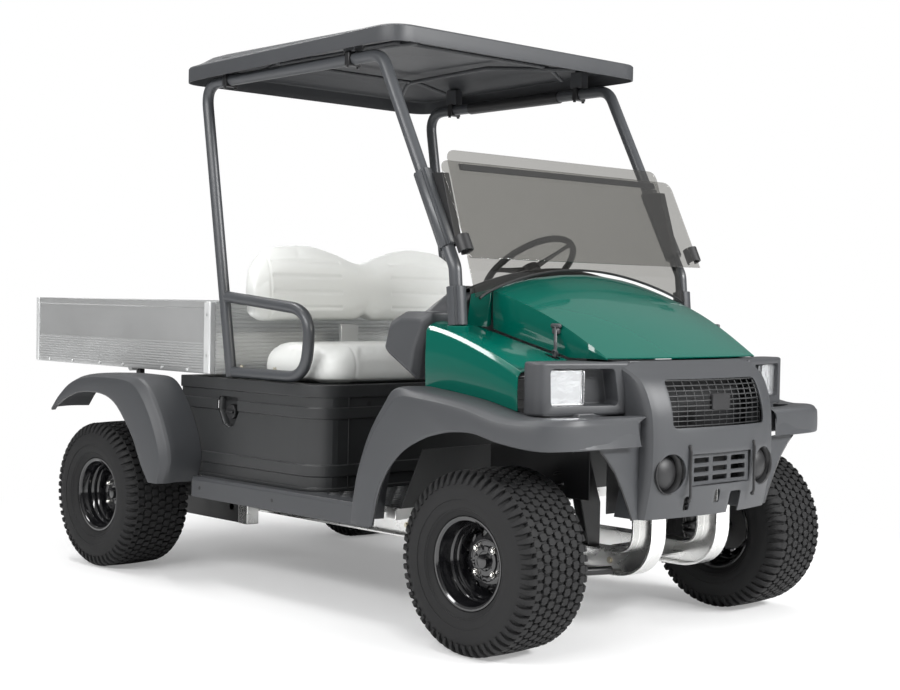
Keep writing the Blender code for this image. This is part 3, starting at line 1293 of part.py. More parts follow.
def build_rear_frame(steel):
    """Black ladder over the rear axle that carries engine and bed."""
    half = REAR_TUBE / 2
    z0 = REAR_FRAME_Z
    z1 = z0 + REAR_TUBE
    y = REAR_FRAME_HALF
    item = box("rear_frame", REAR_FRAME_REAR_X, REAR_FRAME_FRONT_X, y - half, y + half, z0, z1)
    combine(item, box("rail", REAR_FRAME_REAR_X, REAR_FRAME_FRONT_X, -y - half, -y + half, z0, z1))
    for x in (REAR_FRAME_REAR_X + half, ENGINE_REAR_X - half, REAR_FRAME_FRONT_X - half):
        combine(item, box("cross", x - half, x + half, -y, y, z0, z1))
    hinge_z = BED_BOTTOM_Z - BED_HINGE_DROP
    for side in (1, -1):
        y0, y1 = sorted((side * (BED_HINGE_HALF - MOVE_GAP), side * (BED_HINGE_HALF - MOVE_GAP - half)))
        eye = BED_HINGE_RADIUS
        combine(item, box("post", BED_HINGE_X - eye, BED_HINGE_X + eye, y0, y1, z1 - half / 2, hinge_z))
        combine(item, rod("eye", (BED_HINGE_X, y0, hinge_z), (BED_HINGE_X, y1, hinge_z), eye))
        y0, y1 = sorted((side * (y - half), side * (y + half)))
        front = REAR_FRAME_FRONT_X - REAR_TUBE
        combine(item, box("rest", front - half, front + half, y0, y1, z1 - half / 2, BED_BOTTOM_Z - SEAT_GAP))
        drop_z = RAIL_BOTTOM_Z + RAIL_HEIGHT + SEAT_GAP
        foot = RAIL_HALF_SPACING + RAIL_WIDTH / 2
        y0, y1 = sorted((side * (RAIL_HALF_SPACING - half), side * (y + half)))
        combine(item, box("foot", RAIL_REAR_X + SEAT_GAP, REAR_FRAME_FRONT_X, y0, y1, drop_z, z0 + half))
        y0, y1 = sorted((side * (BEAM_HALF - BEAM_WIDTH), side * BEAM_HALF))
        combine(item, box("beam", BEAM_REAR_X, RAIL_REAR_X + RAIL_WEB - SEAT_GAP, y0, y1, BEAM_BOTTOM_Z,
                          BEAM_BOTTOM_Z + BEAM_HEIGHT))
        y0, y1 = sorted((side * (BEAM_HALF - HANGER_SIZE / 2), side * BEAM_HALF))
        for x in (BEAM_REAR_X + HANGER_SIZE, RAIL_REAR_X - HANGER_SIZE * 2):
            combine(item, box("hanger", x, x + HANGER_SIZE, y0, y1, BEAM_BOTTOM_Z + BEAM_HEIGHT / 2, z0 + half))
    combine(item, box("tongue", REAR_FRAME_REAR_X - HITCH_LENGTH, REAR_FRAME_REAR_X + half, -HITCH_WIDTH / 2,
                      HITCH_WIDTH / 2, z0, z0 + half))
    return wear(item, steel)


def build_rear_axle(metal):
    """Axle tubes and gear case below the rear frame, with a leaf spring seat on each side."""
    stub_end = REAR_TRACK / 2 + STUB_REACH - BORE_GAP
    item = rod("rear_axle", (REAR_AXLE_X, -stub_end, AXLE_Z), (REAR_AXLE_X, stub_end, AXLE_Z), STUB_RADIUS)
    drum = REAR_TRACK / 2 - RIM_WALL
    combine(item, rod("tube", (REAR_AXLE_X, -drum, AXLE_Z), (REAR_AXLE_X, drum, AXLE_Z), AXLE_TUBE_RADIUS))
    combine(item, rod("case", (REAR_AXLE_X, -AXLE_CASE_HALF, AXLE_Z), (REAR_AXLE_X, AXLE_CASE_HALF, AXLE_Z),
                      AXLE_CASE_RADIUS, 16))
    y = REAR_FRAME_HALF
    half = SPRING_WIDTH / 2
    top = REAR_FRAME_Z - SEAT_GAP
    for side in (1, -1):
        y0, y1 = sorted((side * (y - half), side * (y + half)))
        combine(item, box("perch", REAR_AXLE_X - half, REAR_AXLE_X + half, y0, y1, AXLE_Z, top))
    return wear(item, metal)


def build_engine(metal):
    """One plain block at the engine's place on the rear frame."""
    z0 = REAR_FRAME_Z + REAR_TUBE + SEAT_GAP
    item = box("engine", ENGINE_REAR_X, ENGINE_REAR_X + ENGINE_LENGTH, -ENGINE_HALF, ENGINE_HALF,
               z0, z0 + ENGINE_HEIGHT)
    return wear(item, metal)


def column_frame():
    tilt = math.radians(COLUMN_TILT)
    along = Vector((-math.sin(tilt), 0, math.cos(tilt)))
    centre = Vector((STEER_WHEEL_X, STEER_WHEEL_Y, STEER_WHEEL_Z))
    return centre, along


def column_ends():
    centre, along = column_frame()
    top = centre - along * (STEER_HUB_THICK / 2 + SEAT_GAP * 2)
    return top - along * COLUMN_LENGTH, top


def build_column(steel):
    """Column from its bore in the dash up to the steering wheel's hub."""
    foot, top = column_ends()
    return wear(rod("steering_column", foot, top, COLUMN_RADIUS), steel)


def build_steering_wheel(plastic):
    """Three spokes, hub and a round rim."""
    centre, along = column_frame()
    turn = along.to_track_quat("Z", "Y")
    rings = []
    count = 28
    for i in range(count):
        angle = math.tau * i / count
        out = Vector((math.cos(angle), math.sin(angle), 0))
        ring = []
        for u, v in circle(STEER_RIM_RADIUS, 8):
            ring.append(centre + turn @ (out * (STEER_WHEEL_RADIUS + u) + Vector((0, 0, v))))
        rings.append(ring)
    item = loft("steering_wheel", rings, closed=True)
    combine(item, rod("hub", centre - along * (STEER_HUB_THICK / 2), centre + along * (STEER_HUB_THICK / 2),
                      STEER_HUB_RADIUS, 12))
    for quarter in (0, 1, 2):
        angle = math.tau * quarter / 3
        out = turn @ Vector((math.cos(angle), math.sin(angle), 0))
        combine(item, rod("spoke", centre + out * STEER_HUB_RADIUS / 2, centre + out * STEER_WHEEL_RADIUS,
                          STEER_RIM_RADIUS / 2, 6))
    return wear(item, plastic)


def build_pedals(rubber):
    """Brake and accelerator pads on arms that come up from one pivot bar on the toe board."""
    y = STEER_WHEEL_Y
    x = FLOOR_FRONT_X - PEDAL_HEIGHT
    z = FLOOR_Z + FLOOR_THICK
    gap = PEDAL_WIDTH * 1.6
    item = rod("pedals", (x, y - gap, z + PEDAL_ARM / 2 + SEAT_GAP), (x, y + PEDAL_WIDTH, z + PEDAL_ARM / 2 + SEAT_GAP),
               PEDAL_ARM / 2, 8)
    for centre in (y - gap + PEDAL_WIDTH / 2, y + PEDAL_WIDTH / 2):
        arm = rod("arm", (x, centre, z + PEDAL_ARM / 2 + SEAT_GAP), (x, centre, z + PEDAL_HEIGHT * 1.5),
                  PEDAL_ARM / 2, 8)
        combine(item, arm)
        pad = box("pad", x - PEDAL_THICK, x, centre - PEDAL_WIDTH / 2, centre + PEDAL_WIDTH / 2,
                  z + PEDAL_HEIGHT * 0.8, z + PEDAL_HEIGHT * 1.8)
        combine(item, pad)
    return wear(item, rubber)


def build():
    clear_scene()
    charcoal = finish("charcoal_plastic", (0.09, 0.10, 0.11), 0.6)
    green = finish("green_paint", (0.0, 0.12, 0.08), 0.15)
    aluminium = finish("satin_aluminium", (0.72, 0.73, 0.74), 0.35, 1.0)
    black_steel = finish("black_steel", (0.02, 0.02, 0.022), 0.3, 0.2)
    tube_paint = finish("tube_paint", (0.11, 0.12, 0.13), 0.45)
    rubber = finish("tyre_rubber", (0.03, 0.03, 0.03), 0.85)
    vinyl = finish("pale_vinyl", (0.72, 0.73, 0.71), 0.6)
    glass = finish("tinted_pane", (0.25, 0.25, 0.24), 0.1)
    lamp = finish("clear_lamp", (0.85, 0.87, 0.9), 0.1)
    cast = finish("cast_metal", (0.12, 0.12, 0.12), 0.6, 0.8)

    wheels = build_wheels(black_steel, rubber)
    knuckle = build_knuckle(cast)
    knuckles = {1: knuckle, -1: mirrored(knuckle, "knuckle_right")}
    build_frame(aluminium)
    build_floor(charcoal)
    build_seat_body(charcoal)
    build_seat_base(vinyl)
    build_seat_back(vinyl)
    build_back_bracket(black_steel)
    build_rear_frame(black_steel)
    build_rear_axle(cast)
    build_engine(cast)
    mirrored(build_front_fender(charcoal), "front_fender_right")
    mirrored(build_rear_fender(charcoal), "rear_fender_right")
    build_cowl(green)
    mirrored(build_headlamp(lamp), "headlamp_right")
    mirrored(build_hoop(tube_paint), "hoop_right")
    mirrored(build_hip_loop(tube_paint), "hip_loop_right")
    mirrored(build_suspension(black_steel), "suspension_right")
    build_fascia(charcoal)
    build_grille(charcoal)
    build_slot_plate(charcoal)
    build_dash(charcoal)
    build_canopy(charcoal)
    build_column(black_steel)
    build_pedals(rubber)
    build_pane("windscreen_lower", (PANE_FOOT_X, PANE_FOOT_Z), (PANE_TOP_X, PANE_TOP_Z), PANE_HALF, PANE_ARCH, glass)
    build_folded_pane(glass)

    hang([build_hood(green)], pivot("hood_hinge", (HOOD_REAR_X, 0, HOOD_REAR_Z)))
    hang([build_steering_wheel(black_steel)], pivot("steering_axis", (STEER_WHEEL_X, STEER_WHEEL_Y, STEER_WHEEL_Z)))
    bed_axis = pivot("bed_hinge", (BED_HINGE_X, 0, BED_BOTTOM_Z - BED_HINGE_DROP))
    bed = [build_bed_floor(aluminium), build_bed_side("bed_side_left", 1, aluminium),
           build_bed_side("bed_side_right", -1, aluminium), build_bed_front(aluminium)]
    hang(bed, bed_axis)
    hang([build_tailgate(aluminium)], pivot("gate_hinge", (TAIL_X + BED_WALL / 2, 0, BED_BOTTOM_Z)))
    for side, tag in ((1, "left"), (-1, "right")):
        steer = pivot("steer_axis_" + tag, (FRONT_AXLE_X, side * KINGPIN_HALF, AXLE_Z))
        hang([knuckles[side]], steer)


build()
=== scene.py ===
import math

import bmesh
import bpy
from mathutils import Matrix, Vector


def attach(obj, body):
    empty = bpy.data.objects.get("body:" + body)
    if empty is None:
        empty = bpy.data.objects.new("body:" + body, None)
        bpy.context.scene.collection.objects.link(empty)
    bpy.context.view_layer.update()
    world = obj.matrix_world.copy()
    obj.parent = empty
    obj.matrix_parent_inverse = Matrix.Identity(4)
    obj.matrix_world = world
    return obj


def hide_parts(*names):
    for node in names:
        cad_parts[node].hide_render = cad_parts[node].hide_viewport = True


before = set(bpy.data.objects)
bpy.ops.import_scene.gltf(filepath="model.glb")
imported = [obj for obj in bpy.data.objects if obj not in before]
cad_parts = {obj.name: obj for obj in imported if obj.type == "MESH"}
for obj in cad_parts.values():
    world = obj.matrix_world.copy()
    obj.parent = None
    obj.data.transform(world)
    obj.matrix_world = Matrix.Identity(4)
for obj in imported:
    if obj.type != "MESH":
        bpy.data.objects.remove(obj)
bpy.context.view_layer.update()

bpy.ops.object.select_all(action="DESELECT")

# Studio: a pale floor that fades into a white surround away from the vehicle.
# Five soft lamps light it; the narrow one gives the bright line along the green crease.


def set_inputs(node, values):
    for name, value in values.items():
        node.inputs[name].default_value = value
    return node


def add_node(tree, kind, values=None, **settings):
    """A new shader node with its settings and some of its inputs set."""
    made = tree.nodes.new("ShaderNode" + kind)
    for name, value in settings.items():
        setattr(made, name, value)
    return set_inputs(made, values or {})


def plain_material(name, colour, rough, metal=0.0):
    made = bpy.data.materials.new(name)
    made.use_nodes = True
    set_inputs(made.node_tree.nodes["Principled BSDF"],
               {"Base Color": (*colour, 1), "Roughness": rough, "Metallic": metal})
    return made


def white_to_eye(tree, shaded):
    """The camera and clear panes see plain white; everything else sees the shaded sky."""
    path = add_node(tree, "LightPath")
    both = add_node(tree, "Math", operation="MAXIMUM")
    tree.links.new(path.outputs["Is Camera Ray"], both.inputs[0])
    tree.links.new(path.outputs["Is Transmission Ray"], both.inputs[1])
    white = add_node(tree, "Background", {"Color": (1, 1, 1, 1), "Strength": 1.0})
    mix = add_node(tree, "MixShader")
    tree.links.new(both.outputs[0], mix.inputs[0])
    tree.links.new(shaded.outputs[0], mix.inputs[1])
    tree.links.new(white.outputs[0], mix.inputs[2])
    return mix


world = bpy.data.worlds.new("studio")
bpy.context.scene.world = world
world.use_nodes = True
sky = world.node_tree.nodes["Background"]
sky.inputs["Color"].default_value = (1, 1, 1, 1)
aim = add_node(world.node_tree, "TexCoord")
parts = add_node(world.node_tree, "SeparateXYZ")
world.node_tree.links.new(aim.outputs["Generated"], parts.inputs[0])
rise = add_node(world.node_tree, "MapRange", {"From Min": 0.1, "From Max": 0.75, "To Min": 0.16, "To Max": 0.62},
                interpolation_type="SMOOTHSTEP")
world.node_tree.links.new(parts.outputs["Z"], rise.inputs["Value"])
world.node_tree.links.new(rise.outputs["Result"], sky.inputs["Strength"])
surround = white_to_eye(world.node_tree, sky)
world.node_tree.links.new(surround.outputs[0], world.node_tree.nodes["World Output"].inputs["Surface"])

bpy.ops.mesh.primitive_plane_add(size=60, location=(0, 0, 0))
floor = bpy.context.object
floor.name = "studio_floor"
floor_paint = plain_material("studio_floor", (0.93, 0.93, 0.93), 0.9)
floor.data.materials.append(floor_paint)
tree = floor_paint.node_tree
spot = add_node(tree, "TexCoord")
reach = add_node(tree, "VectorMath", operation="LENGTH")
tree.links.new(spot.outputs["Object"], reach.inputs[0])
fade = add_node(tree, "MapRange", {"From Min": 1.0, "From Max": 2.8, "To Min": 0.25},
                interpolation_type="SMOOTHSTEP")
tree.links.new(reach.outputs["Value"], fade.inputs["Value"])
path = add_node(tree, "LightPath")
seen = add_node(tree, "Math", operation="MULTIPLY")
tree.links.new(fade.outputs["Result"], seen.inputs[0])
tree.links.new(path.outputs["Is Camera Ray"], seen.inputs[1])
white = add_node(tree, "Emission", {"Color": (1, 1, 1, 1)})
far = add_node(tree, "MixShader")
tree.links.new(seen.outputs[0], far.inputs[0])
tree.links.new(tree.nodes["Principled BSDF"].outputs["BSDF"], far.inputs[1])
tree.links.new(white.outputs["Emission"], far.inputs[2])
tree.links.new(far.outputs["Shader"], tree.nodes["Material Output"].inputs["Surface"])

for lamp_name, place, aim, wide, tall, power, roll in (
    ("lamp_side", (1.2, -5.0, 3.4), (0.2, 0, 0.7), 5.0, 0.8, 230, 0),
    ("lamp_front", (5.4, 1.4, 3.0), (0.8, 0, 0.7), 3.0, 0.9, 330, 0),
    ("lamp_top", (0.2, 0.6, 5.6), (0.2, 0, 0), 4.0, 2.4, 95, 0),
    ("lamp_back", (-4.8, 3.4, 3.2), (-0.4, 0, 0.8), 3.5, 1.2, 45, 0),
    ("lamp_crease", (-1.45, -1.5, 4.95), (1.0, -0.6, 0.9), 3.6, 0.35, 100, 42),
):
    bpy.ops.object.light_add(type="AREA", location=place)
    lamp = bpy.context.object
    lamp.name = lamp_name
    lamp.data.shape = "RECTANGLE"
    lamp.data.size = wide
    lamp.data.size_y = tall
    lamp.data.energy = power
    lamp.rotation_euler = (Vector(aim) - Vector(place)).to_track_quat("-Z", "Y").to_euler()
    lamp.rotation_euler.rotate_axis("Z", math.radians(roll))

# Camera: the photograph's viewing angle, from in front of the vehicle's right-hand corner.
# The axes are the camera's right, up and back directions.
bpy.ops.object.camera_add(location=(4.4337, -3.9833, 1.0651))
camera = bpy.context.object
camera.matrix_world = Matrix((
    (0.69613, -0.03491, 0.71707, 4.4337),
    (0.71767, 0.00738, -0.69635, -3.9833),
    (0.01901, 0.99936, 0.03019, 1.0651),
    (0, 0, 0, 1),
))
camera.data.lens = 62.77
camera.data.sensor_width = 36
camera.data.clip_end = 100
bpy.context.scene.camera = camera
bpy.context.scene.view_settings.view_transform = "Standard"

# Steel wheels: pressed black enamel discs, ten vent slots and a deep stepped dish.
# Each is spun from its section, the slots are cut through, and four plated nuts hold it on.


def only(item):
    """Select one piece and nothing else."""
    bpy.ops.object.select_all(action="DESELECT")
    item.select_set(True)
    bpy.context.view_layer.objects.active = item


def placed(name, data):
    made = bpy.data.objects.new(name, data)
    bpy.context.scene.collection.objects.link(made)
    return made


def settle(item, angle=30):
    """Leave a piece at the origin with its place in its mesh, its skin whole and facing out."""
    only(item)
    bpy.ops.object.transform_apply(location=True, rotation=True, scale=True)
    bpy.ops.object.mode_set(mode="EDIT")
    bpy.ops.mesh.select_all(action="SELECT")
    bpy.ops.mesh.remove_doubles(threshold=0.00005)
    bpy.ops.mesh.normals_make_consistent(inside=False)
    bpy.ops.object.mode_set(mode="OBJECT")
    bpy.ops.object.shade_smooth_by_angle(angle=math.radians(angle))
    item.select_set(False)
    return item


def apply_all(item):
    bpy.context.view_layer.objects.active = item
    for step in list(item.modifiers):
        bpy.ops.object.modifier_apply(modifier=step.name)


def joined(items, name):
    bpy.ops.object.select_all(action="DESELECT")
    for item in items:
        item.select_set(True)
    bpy.context.view_layer.objects.active = items[0]
    bpy.ops.object.join()
    made = bpy.context.object
    made.name = name
    made.select_set(False)
    return made


def fit(item, material, slot, *stood_for, body="chassis"):
    """Give a piece its finish and its body, and hide the CAD nodes that it stands for."""
    item.data.materials.clear()
    item.data.materials.append(material)
    for face in item.data.polygons:
        face.material_index = 0
    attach(item, body)
    if stood_for:
        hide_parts(*stood_for)
    return item


def spun(name, section, steps=64):
    """A closed section of (y, radius) drawn as an edge loop and spun round the Y axis."""
    data = bpy.data.meshes.new(name)
    count = len(section)
    data.from_pydata([(r, y, 0) for y, r in section], [(i, (i + 1) % count) for i in range(count)], [])
    item = placed(name, data)
    only(item)
    bpy.ops.object.mode_set(mode="EDIT")
    bpy.ops.mesh.select_all(action="SELECT")
    bpy.ops.mesh.spin(steps=steps, angle=math.tau, center=(0, 0, 0), axis=(0, 1, 0), dupli=False)
    bpy.ops.object.mode_set(mode="OBJECT")
    return settle(item)


def finish(name, colour, rough, metal=0.0, cloud=0.1, cloud_scale=6, gloss=None, grain=0.0, grain_scale=900,
           depth=0.0003, more=None):
    """A surface with fine grain in the bump and a slow drift in colour and gloss, on object coordinates."""
    made = plain_material(name, colour, rough, metal)
    tree = made.node_tree
    link = tree.links.new
    shader = set_inputs(tree.nodes["Principled BSDF"], more or {})
    place = add_node(tree, "TexCoord")
    if grain:
        noise = add_node(tree, "TexNoise", {"Scale": grain_scale, "Detail": 3})
        link(place.outputs["Object"], noise.inputs["Vector"])
        bump = add_node(tree, "Bump", {"Strength": grain, "Distance": depth})
        link(noise.outputs["Fac"], bump.inputs["Height"])
        link(bump.outputs["Normal"], shader.inputs["Normal"])
    drift = add_node(tree, "TexNoise", {"Scale": cloud_scale, "Detail": 5})
    link(place.outputs["Object"], drift.inputs["Vector"])
    tint = add_node(tree, "MapRange", {"To Min": 1 - cloud, "To Max": 1 + cloud})
    link(drift.outputs["Fac"], tint.inputs["Value"])
    scale = add_node(tree, "VectorMath", operation="SCALE")
    scale.inputs[0].default_value = shader.inputs["Base Color"].default_value[:3]
    link(tint.outputs["Result"], scale.inputs["Scale"])
    link(scale.outputs["Vector"], shader.inputs["Base Color"])
    if gloss:
        spread = add_node(tree, "MapRange", {"To Min": gloss[0], "To Max": gloss[1]})
        link(drift.outputs["Fac"], spread.inputs["Value"])
        link(spread.outputs["Result"], shader.inputs["Roughness"])
    return made


wheel_enamel = finish("wheel_enamel", (0.006, 0.006, 0.007), 0.12, grain=0.12, grain_scale=160, depth=0.0006,
                      cloud=0.15, gloss=(0.1, 0.18), more={"Coat Weight": 0.6, "Coat Roughness": 0.04})
nut_plate = finish("nut_plate", (0.8, 0.79, 0.76), 0.16, 1.0, cloud=0.1, cloud_scale=60, gloss=(0.1, 0.24))

rim_wall = 0.004
dish = [(0.112, 0.1345), (0.1085, 0.1285), (0.102, 0.125), (0.09, 0.1238), (0.084, 0.1195), (0.078, 0.118),
        (0.066, 0.1174), (0.061, 0.1125), (0.056, 0.1105), (0.046, 0.1094), (0.041, 0.105), (0.036, 0.1035),
        (0.01, 0.103)]
disc_face = [(0.01, 0.103), (0.013, 0.099), (0.021, 0.093), (0.029, 0.08), (0.0335, 0.068), (0.0335, 0.062),
             (0.03, 0.06), (0.03, 0.047), (0.036, 0.044), (0.0365, 0.03), (0.0345, 0.029), (0.0345, 0.0215)]
disc_back = [(y - 0.005, r) for y, r in reversed(disc_face[2:])]
barrel = [(-y, r) for y, r in reversed(dish[:-2])]
outside = [(y, r + rim_wall) for y, r in reversed(barrel)]
outer_skin = [(y, r + rim_wall) for y, r in reversed(dish[:-2])]
section = (dish[:-1] + disc_face + disc_back + [(0.004, 0.103)] + barrel
           + [(-0.112, 0.14), (-0.1055, 0.14)] + [(y, r - 0.0004) for y, r in outside[1:]]
           + [(y, r - 0.0004) for y, r in outer_skin[:-1]] + [(0.1055, 0.14), (0.112, 0.14)])
rim_shape = spun("rim_shape", section, 72)
slots = []
slot_count, slot_circle = 10, 0.0865
for turn in range(slot_count):
    angle = math.tau * turn / slot_count + 0.15
    spot = (slot_circle * math.cos(angle), 0.02, slot_circle * math.sin(angle))
    bpy.ops.mesh.primitive_cylinder_add(vertices=20, radius=0.0125, depth=0.06, location=spot,
                                        rotation=(math.pi / 2, angle, 0))
    slot_cut = bpy.context.object
    slot_cut.scale = (1.0, 0.86, 1.0)
    slots.append(slot_cut)
slot_cutter = joined(slots, "slot_cutter")
only(slot_cutter)
bpy.ops.object.transform_apply(location=True, rotation=True, scale=True)


def carved(item, cutter, operation="DIFFERENCE"):
    step = item.modifiers.new("carve", "BOOLEAN")
    step.operation = operation
    step.solver = "EXACT"
    step.object = cutter
    apply_all(item)
    bpy.data.objects.remove(cutter, do_unlink=True)
    return item


carved(rim_shape, slot_cutter)
edge_round = rim_shape.modifiers.new("edge_round", "BEVEL")
edge_round.width = 0.0009
edge_round.segments = 2
edge_round.limit_method = "ANGLE"
edge_round.angle_limit = math.radians(50)
apply_all(rim_shape)
settle(rim_shape, 40)



def ball(radius, segments, place=(0, 0, 0)):
    bpy.ops.mesh.primitive_uv_sphere_add(segments=segments, ring_count=segments // 2, radius=radius, location=place)
    return bpy.context.object


cap_section = [(0.03, 0.0), (0.03, 0.0215), (0.048, 0.0215), (0.052, 0.0195), (0.0535, 0.012), (0.054, 0.0)]
cap_shape = spun("cap_shape", cap_section, 32)
nuts = []
nut_count, nut_circle = 4, 0.0508
for turn in range(nut_count):
    angle = math.tau * turn / nut_count + math.pi / 4
    centre_x, centre_z = nut_circle * math.cos(angle), nut_circle * math.sin(angle)
    bpy.ops.mesh.primitive_cylinder_add(vertices=6, radius=0.0105, depth=0.012,
                                        location=(centre_x, 0.036, centre_z), rotation=(math.pi / 2, 0, 0))
    nuts.append(bpy.context.object)
    nuts.append(ball(0.0088, 16, (centre_x, 0.041, centre_z)))
nut_shape = joined(nuts, "nut_shape")
settle(nut_shape, 35)

# Turf tyres: a rubber carcass with a rim guard and staggered rows of interlocking blocks.
# One block and one shoulder lug are modelled, then set round the crown of the carcass.
tyre_rubber = finish("tyre_rubber", (0.009, 0.009, 0.0095), 0.66, grain=0.5, grain_scale=700, depth=0.0004,
                     cloud=0.3, cloud_scale=14, gloss=(0.62, 0.82), more={"Specular IOR Level": 0.35})
tread_depth = 0.008
crown = 0.2794
carcass_section = [
    (0.0, crown - tread_depth), (0.06, crown - tread_depth - 0.001), (0.096, crown - tread_depth - 0.004),
    (0.116, 0.26), (0.1265, 0.248), (0.1315, 0.234), (0.1345, 0.22), (0.1355, 0.205), (0.135, 0.193),
    (0.133, 0.192), (0.1335, 0.18), (0.13, 0.166), (0.1275, 0.164), (0.127, 0.16), (0.1225, 0.157),
    (0.118, 0.149), (0.113, 0.1435), (0.106, 0.1415), (0.104, 0.133), (0.1, 0.1285),
]
carcass_section = carcass_section + [(-y, r) for y, r in reversed(carcass_section[1:])]
tyre_shape = spun("tyre_shape", carcass_section, 96)

block_outline = ((-0.0155, -0.006), (-0.012, -0.0165), (-0.002, -0.0185), (0.003, -0.015), (0.0085, -0.0175),
                 (0.0145, -0.01), (0.0145, 0.01), (0.0085, 0.0175), (0.003, 0.015), (-0.002, 0.0185),
                 (-0.012, 0.0165), (-0.0155, 0.006))
block_levels = ((-0.003, 1.0), (tread_depth - 0.0012, 0.94), (tread_depth, 0.86))
pitch_count = 56
block_outline = [(u * 0.83, v * 0.8) for u, v in block_outline]
tread = bmesh.new()


def tread_radius(y):
    return crown - tread_depth - 0.001 * (abs(y) / 0.06) ** 2


def add_form(mesh, rings):
    """Skin closed rings of points and cap both ends."""
    made = [[mesh.verts.new(point) for point in ring] for ring in rings]
    count = len(made[0])
    for low, high in zip(made, made[1:]):
        for j in range(count):
            mesh.faces.new((low[j], low[(j + 1) % count], high[(j + 1) % count], high[j]))
    mesh.faces.new(made[0][::-1])
    mesh.faces.new(made[-1])


for row, across in enumerate((-0.0915, -0.061, -0.0305, 0.0, 0.0305, 0.061, 0.0915)):
    for step in range(pitch_count):
        angle = math.tau * (step + 0.5 * (row % 2)) / pitch_count
        flip = 1 if row % 2 else -1
        rings = []
        for level, share in block_levels:
            ring = []
            for u, v in block_outline:
                y = across + v * share
                radius = tread_radius(y) + level
                turn = angle + flip * u * share / crown
                ring.append((radius * math.cos(turn), y, radius * math.sin(turn)))
            rings.append(ring if flip > 0 else ring[::-1])
        add_form(tread, rings)

lug_line = ((0.1035, 0.2775), (0.116, 0.2735), (0.127, 0.264), (0.133, 0.252), (0.1352, 0.239))
lug_root = ((0.102, 0.265), (0.112, 0.26), (0.12, 0.252), (0.126, 0.243), (0.13, 0.238))
for side in (1, -1):
    for step in range(pitch_count):
        centre = math.tau * (step + (0.5 if side > 0 else 0)) / pitch_count
        rings = []
        for k, ((y1, r1), (y0, r0)) in enumerate(zip(lug_line, lug_root)):
            lean = 0.012 * math.sin(math.pi * k / 4)
            half = 0.0104 / crown * (1.0 - 0.1 * k)
            ring = []
            for y, r, wide in ((y0, r0, 1.1), (y1 - 0.0012, r1 - 0.0012, 1.0), (y1, r1, 0.8)):
                ring.append((y, r, -half * wide))
            for y, r, wide in ((y1, r1, 0.8), (y1 - 0.0012, r1 - 0.0012, 1.0), (y0, r0, 1.1)):
                ring.append((y, r, half * wide))
            rings.append([(r * math.cos(centre + lean + w), side * y, r * math.sin(centre + lean + w))
                          for y, r, w in ring])
        add_form(tread, rings)
tread_data = bpy.data.meshes.new("tread_shape")
tread.to_mesh(tread_data)
tread.free()
tread_shape = placed("tread_shape", tread_data)
settle(tread_shape, 32)
tyre_shape = joined([tyre_shape, tread_shape], "tyre_shape")


def copied(item, name, place, turned=False):
    """A copy with its own mesh, carried to its place and turned about if it faces the other way."""
    made = placed(name, item.data.copy())
    made.data.transform(Matrix.Translation(place) @ Matrix.Rotation(math.pi if turned else 0, 4, "Z"))
    return made


front_axle_x, rear_axle_x, axle_z = 1.165, -0.845, crown
for corner, x, y in (("front_left", front_axle_x, 0.61), ("front_right", front_axle_x, -0.61),
                     ("rear_left", rear_axle_x, 0.63), ("rear_right", rear_axle_x, -0.63)):
    hub = Vector((x, y, axle_z))
    away = y < 0
    body = "wheel_" + corner
    disc = copied(rim_shape, "wheel_disc_" + corner, hub, away)
    fit(disc, wheel_enamel, "wheel_black", "rim_" + corner, body=body)
    fit(copied(cap_shape, "hub_cap_" + corner, hub, away), wheel_enamel, "wheel_black", body=body)
    fit(copied(nut_shape, "wheel_nuts_" + corner, hub, away), nut_plate, "bright_aluminium", body=body)
    tyre = copied(tyre_shape, "turf_tyre_" + corner, hub, away)
    fit(tyre, tyre_rubber, "tyre_rubber", "tyre_" + corner, body=body)
for pattern in (rim_shape, cap_shape, nut_shape, tyre_shape):
    bpy.data.objects.remove(pattern, do_unlink=True)

# Main rails: two bright aluminium I beams that run level and sweep up behind the nose.
# They are bolted to cross members, outriggers for the floor and the shock towers.


def through(points, t):
    """A place on the smooth line through some points, t running from 0 to 1."""
    span = min(int(t * (len(points) - 1)), len(points) - 2)
    s = t * (len(points) - 1) - span
    a, b = points[span], points[span + 1]
    before = points[span - 1] if span else a * 2 - b
    after = points[span + 2] if span + 2 < len(points) else b * 2 - a
    return 0.5 * ((2 * a) + (b - before) * s + (2 * before - 5 * a + 4 * b - after) * s * s
                  + (3 * a - before - 3 * b + after) * s * s * s)


def skin(name, rows, fine=4, across=1, closed=False, curved=False):
    """Drape a grid over control rows: smooth along them, straight or curved across."""
    rows = [[Vector(point) for point in row] + ([Vector(row[0])] if closed else []) for row in rows]
    nu, nv = (len(rows[0]) - 1) * across, (len(rows) - 1) * fine
    bpy.ops.mesh.primitive_grid_add(x_subdivisions=nu, y_subdivisions=nv, size=1)
    item = bpy.context.object
    item.name = name
    lines = []
    for i in range(len(rows[0])):
        column = [row[i] for row in rows]
        lines.append([through(column, j / nv) for j in range(nv + 1)])
    for vertex in item.data.vertices:
        u, v = (vertex.co.x + 0.5) * nu, round((vertex.co.y + 0.5) * nv)
        points = [line[v] for line in lines]
        if curved:
            vertex.co = through(points, round(u) / nu)
        else:
            k = min(round(u) // across, len(points) - 2)
            vertex.co = points[k].lerp(points[k + 1], (round(u) - k * across) / across)
    if closed:
        bpy.ops.object.mode_set(mode="EDIT")
        bpy.ops.mesh.select_all(action="SELECT")
        bpy.ops.mesh.remove_doubles(threshold=0.00005)
        bpy.ops.mesh.select_all(action="DESELECT")
        bpy.ops.mesh.select_non_manifold()
        bpy.ops.mesh.fill_holes(sides=0)
        bpy.ops.object.mode_set(mode="OBJECT")
    return settle(item)


